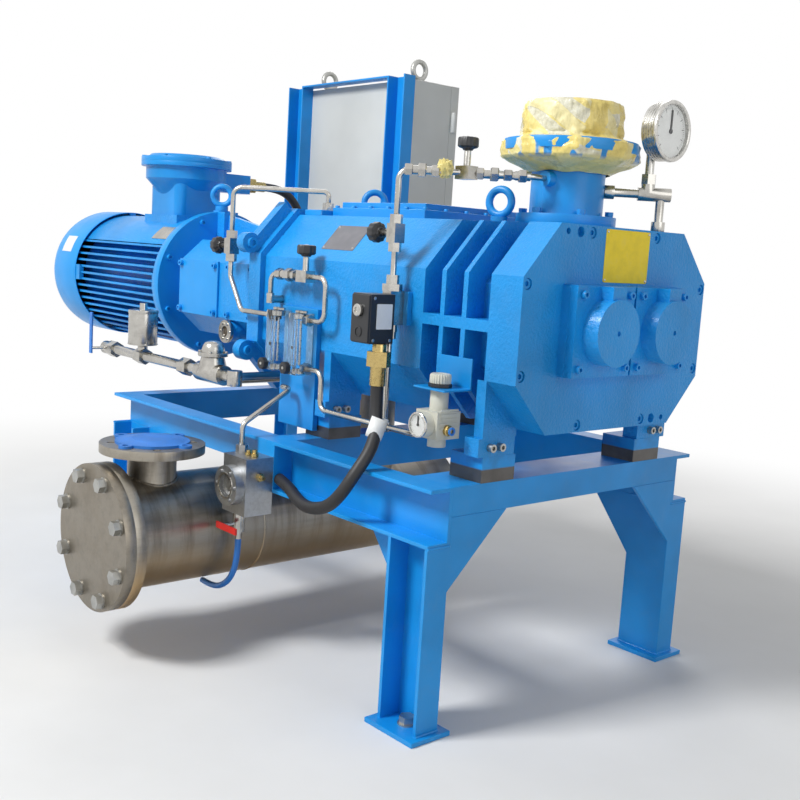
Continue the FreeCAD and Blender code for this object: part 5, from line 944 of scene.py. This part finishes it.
for number, (level, tall) in enumerate(CAN_RIMS):
    rim = [(CAN_RADIUS - 0.002, 0), (CAN_RADIUS + 0.0008, 0.0006),
           (CAN_RADIUS + 0.0012, tall * 0.5), (CAN_RADIUS + 0.0008, tall - 0.0006),
           (CAN_RADIUS - 0.002, tall)]
    made(open_ring, f"can_rim_{number}", rim, (can_middle.x, can_middle.y, level), UPWARD,
         slot="stainless")

# Bare plates where the machine carries its papers

made(slab, "cover_plate_yellow", 0.141, 0.103, 0.0008, 0.004, (0.709, 0.0075, 0.9345),
     COVERWARD, slot="cream_plastic", material=YELLOW_SHEET)
FLAT_RIVET = [(0.0027, 0), (0.0026, 0.0006), (0.002, 0.0013), (0.0002, 0.0014)]
cover_spots = [(0.7097, y, z) for z in (0.981, 0.888) for y in (-0.058, 0.073)]
for number, spot in enumerate(cover_spots):
    made(lathe, f"cover_rivet_{number}", FLAT_RIVET, spot, COVERWARD, steps=16,
         slot="bright_steel")
CHAMFER_OUT = Vector((0, -0.739, 0.674))
CHAMFER_UP = Vector((0, 0.674, 0.739))
PUMP_PLATE = Vector((0.127, -0.2415, 0.9395))
PLATE_THICK = 0.001
made(slab, "pump_plate", 0.114, 0.074, PLATE_THICK, 0.003, PUMP_PLATE, CHAMFER_OUT,
     CHAMFER_UP, slot="stainless", material=GREY_PLATE)
DOMED_RIVET = [(0.003, 0), (0.0028, 0.0008), (0.002, 0.0016), (0.0002, 0.0018)]
plate_corners = [(across, rise) for rise in (0.031, -0.031) for across in (-0.051, 0.051)]
for number, (across, rise) in enumerate(plate_corners):
    spot = (PUMP_PLATE + Vector((across, 0, 0)) + CHAMFER_UP * rise
            + CHAMFER_OUT * PLATE_THICK)
    made(lathe, f"pump_rivet_{number}", DOMED_RIVET, spot, CHAMFER_OUT, steps=16,
         slot="bright_steel")
MOTOR_AXIS = (-0.090, 0.790)
made(rolled_label, "motor_plate", *MOTOR_AXIS, 0.1852, (-0.79, -0.70),
     (math.radians(40), math.radians(56)), 0.0008, slot="stainless")
made(rolled_label, "cowl_label", *MOTOR_AXIS, 0.1952, (-1.30, -1.235),
     (math.radians(18), math.radians(34)), 0.0005, slot="cream_plastic",
     material=WHITE_LABEL)

# A bare tag folded round the signal conduit

TAG_HEIGHT = 0.562
TAG_HALF = 0.016
TAG_LEG = 0.03
TAG_RADIUS = 0.0138
TAG_STEPS = 12
tag_at = min(cord_lines["signal_conduit"], key=lambda point: abs(point.z - TAG_HEIGHT))
fold = [math.pi * (0.5 + step / TAG_STEPS) for step in range(TAG_STEPS + 1)]
tag_rows = [[(reach, TAG_LEG, TAG_RADIUS)]
            + [(reach, TAG_RADIUS * math.cos(turn), TAG_RADIUS * math.sin(turn)) for turn in fold]
            + [(reach, TAG_LEG, -TAG_RADIUS)] for reach in (-TAG_HALF, TAG_HALF)]
tag = made(grid_mesh, "conduit_tag", tag_rows,
           facing(tag_at, (0.55, -0.6, 0.05), (0.3, 0.1, 1)), closed=False,
           slot="cream_plastic", material=WHITE_LABEL)
tag_wall = tag.modifiers.new("wall", "SOLIDIFY")
tag_wall.thickness = 0.0006

# Air regulator: a push fitting, ribs on its block and a neck nut

REGULATOR_SIDE = 0.584
FITTING_Y = -0.334
FITTING_Z = 0.588
FITTING = [(0.0095, 0), (0.0105, 0.001), (0.0105, 0.006), (0.0085, 0.007), (0.0085, 0.012),
           (0.006, 0.0125)]
made(lathe, "air_fitting", FITTING, (REGULATOR_SIDE, FITTING_Y, FITTING_Z), COVERWARD,
     steps=36, slot="brass_metal")
FITTING_RING = [(0.0048, 0), (0.0076, 0), (0.0082, 0.001), (0.0082, 0.0035), (0.006, 0.0045),
                (0.0045, 0.0035)]
made(open_ring, "air_fitting_ring", FITTING_RING, (0.5962, FITTING_Y, FITTING_Z), COVERWARD,
     steps=32, slot="blue_plastic")
BLOCK_RIBS = 5
BLOCK_RIB_START = 0.592
BLOCK_RIB_PITCH = 0.0085
for number in range(BLOCK_RIBS):
    made(slab, f"regulator_rib_{number}", 0.046, 0.004, 0.0018, 0.0012,
         (REGULATOR_SIDE, REGULATOR_Y, BLOCK_RIB_START + BLOCK_RIB_PITCH * number), COVERWARD,
         slot="cream_plastic")
NECK_NUT = [(0.0215, 0), (0.023, 0.001), (0.023, 0.007), (0.0215, 0.008)]
made(lathe, "regulator_neck_nut", NECK_NUT, (REGULATOR_X, REGULATOR_Y, 0.667), UPWARD,
     steps=8, slot="black_plastic")

# Weld beads on the tank and on the skid

TANK_X = -0.091
TANK_Z = 0.263
TANK_RADIUS = 0.125
NOZZLE_Y = -0.587
PIPE_RADIUS = 0.054
SEAM_LIFT = 0.001
SADDLE_STEPS = 56
ACROSS_TANK = ((1, 0, 0), (0, 0, 1))
LEVEL = ((1, 0, 0), (0, 1, 0))


def saddle_point(turn):
    """A point of the line where the nozzle's pipe meets the tank."""
    x = (PIPE_RADIUS + SEAM_LIFT) * math.cos(turn)
    y = (PIPE_RADIUS + SEAM_LIFT) * math.sin(turn)
    return TANK_X + x, NOZZLE_Y + y, TANK_Z + math.sqrt(TANK_RADIUS ** 2 - x ** 2)


WELDS = {
    "nozzle_weld": [saddle_point(FULL_TURN * step / SADDLE_STEPS)
                    for step in range(SADDLE_STEPS)],
    "tank_flange_weld": arc_points((TANK_X, -0.6785, TANK_Z), TANK_RADIUS + SEAM_LIFT,
                                   ACROSS_TANK, 72),
    "tank_seam": arc_points((TANK_X, -0.36, TANK_Z), TANK_RADIUS - 0.0015, ACROSS_TANK, 72),
    "nozzle_flange_weld": arc_points((TANK_X, NOZZLE_Y, 0.4425), PIPE_RADIUS + SEAM_LIFT,
                                     LEVEL),
}
for name, points in WELDS.items():
    made(bead, name, points, 0.0032, closed=True, slot="stainless", material=TANK_STEEL)
LEG_IN, LEG_OUT = (0.524, 0.3555), (0.636, 0.4125)
FOOT_TOP = 0.0105
LEG_TOP = {"rear": 0.409, "front": 0.377}
for side, side_name in ((-1, "near"), (1, "far")):
    for end, end_name in ((-1, "rear"), (1, "front")):
        corners = [(end * LEG_OUT[0], side * LEG_OUT[1]), (end * LEG_OUT[0], side * LEG_IN[1]),
                   (end * LEG_IN[0], side * LEG_IN[1]), (end * LEG_IN[0], side * LEG_OUT[1])]
        label = f"{side_name}_{end_name}"
        made(bead, f"{label}_foot_weld", [(*corner, FOOT_TOP) for corner in corners], 0.003,
             slot="blue_paint")
        made(bead, f"{label}_head_weld", [(*corner, LEG_TOP[end_name])
                                          for corner in corners[:3]], 0.0028,
             slot="blue_paint")

# The painted block on the housing that the case tubes run into

made(slab, "manifold_paint", 0.0675, 0.0615, 0.0127, 0.003, (-0.063, -0.1655, 0.990), UPWARD,
     (0, 1, 0), slot="blue_paint")

# Small screws round the rim of the access cover

RIM_SCREW = [(0.0055, 0), (0.0055, 0.0045), (0.0048, 0.0055), (0.0028, 0.0055),
             (0.0026, 0.003), (0.0003, 0.003)]
ACCESS_TOP = 1.010
RIM_START = -0.019
RIM_PITCH = 0.0618
rim_spots = [(RIM_START + RIM_PITCH * step, side * 0.157) for step in range(6)
             for side in (-1, 1)]
rim_spots += [(x, y) for x in (RIM_START, 0.290) for y in (-0.094, -0.031, 0.031, 0.094)]
for number, (x, y) in enumerate(rim_spots):
    made(lathe, f"rim_screw_{number}", RIM_SCREW, (x, y, ACCESS_TOP), UPWARD, steps=18,
         slot="blue_paint")

# Floor, backdrop and lights

FLOOR_HALF = 12
FLOOR_TINTS = [(0.3, (0.74, 0.74, 0.73)), (0.7, (0.8, 0.8, 0.79))]
FADE_SPAN = (1.1, 3.2)
WORLD_LIGHT = 0.32


def seen_directly(tree):
    """1 for rays from the camera and for mirrored rays, 0 for the light on things."""
    paths = add(tree, "ShaderNodeLightPath")
    return maths(tree, "MAXIMUM", paths.outputs["Is Camera Ray"],
                 paths.outputs["Is Glossy Ray"])


def floor_finish():
    """Pale floor near the machine that fades into the white backdrop far from it."""
    mat, tree, bsdf = shader("floor")
    bsdf.inputs["Roughness"].default_value = 0.9
    tree.links.new(ramp(tree, object_noise(tree, 2), FLOOR_TINTS), bsdf.inputs["Base Color"])
    reach = add(tree, "ShaderNodeVectorMath", operation="LENGTH")
    tree.links.new(object_place(tree), reach.inputs[0])
    fade = remap(tree, reach.outputs["Value"], FADE_SPAN, (0, 1), "SMOOTHSTEP")
    backdrop = add(tree, "ShaderNodeEmission", Strength=1, Color=(*WHITE, 1))
    mixed = add(tree, "ShaderNodeMixShader")
    tree.links.new(maths(tree, "MULTIPLY", fade, seen_directly(tree)), mixed.inputs["Fac"])
    tree.links.new(bsdf.outputs["BSDF"], mixed.inputs[1])
    tree.links.new(backdrop.outputs["Emission"], mixed.inputs[2])
    tree.links.new(mixed.outputs["Shader"], tree.nodes["Material Output"].inputs["Surface"])
    return mat


stage_mesh = bpy.data.meshes.new("floor")
stage_mesh.from_pydata(
    [(-FLOOR_HALF, -FLOOR_HALF, 0), (FLOOR_HALF, -FLOOR_HALF, 0),
     (FLOOR_HALF, FLOOR_HALF, 0), (-FLOOR_HALF, FLOOR_HALF, 0)], [], [(0, 1, 2, 3)])
stage_mesh.materials.append(floor_finish())
floor = bpy.data.objects.new("floor", stage_mesh)
scene.collection.objects.link(floor)

world = bpy.data.worlds.new("world")
scene.world = world
world.use_nodes = True
background = world.node_tree.nodes["Background"]
background.inputs["Color"].default_value = (*WHITE, 1)
world.node_tree.links.new(spread(world.node_tree, seen_directly(world.node_tree), WORLD_LIGHT, 1),
                          background.inputs["Strength"])


def lamp(name, place, aim, size, power):
    light = bpy.data.lights.new(name, "AREA")
    light.energy = power
    light.size = size
    obj = bpy.data.objects.new(name, light)
    scene.collection.objects.link(obj)
    obj.location = place
    obj.rotation_euler = (Vector(aim) - Vector(place)).to_track_quat("-Z", "Y").to_euler()


lamp("key", (-0.45, -3.3, 3.6), (0, 0, 0.6), 1.1, 178)
lamp("side", (3.8, -0.4, 2.0), (0, 0, 0.7), 2.2, 20)
lamp("back", (-2.8, 2.6, 3.2), (0, 0, 0.8), 2.5, 55)
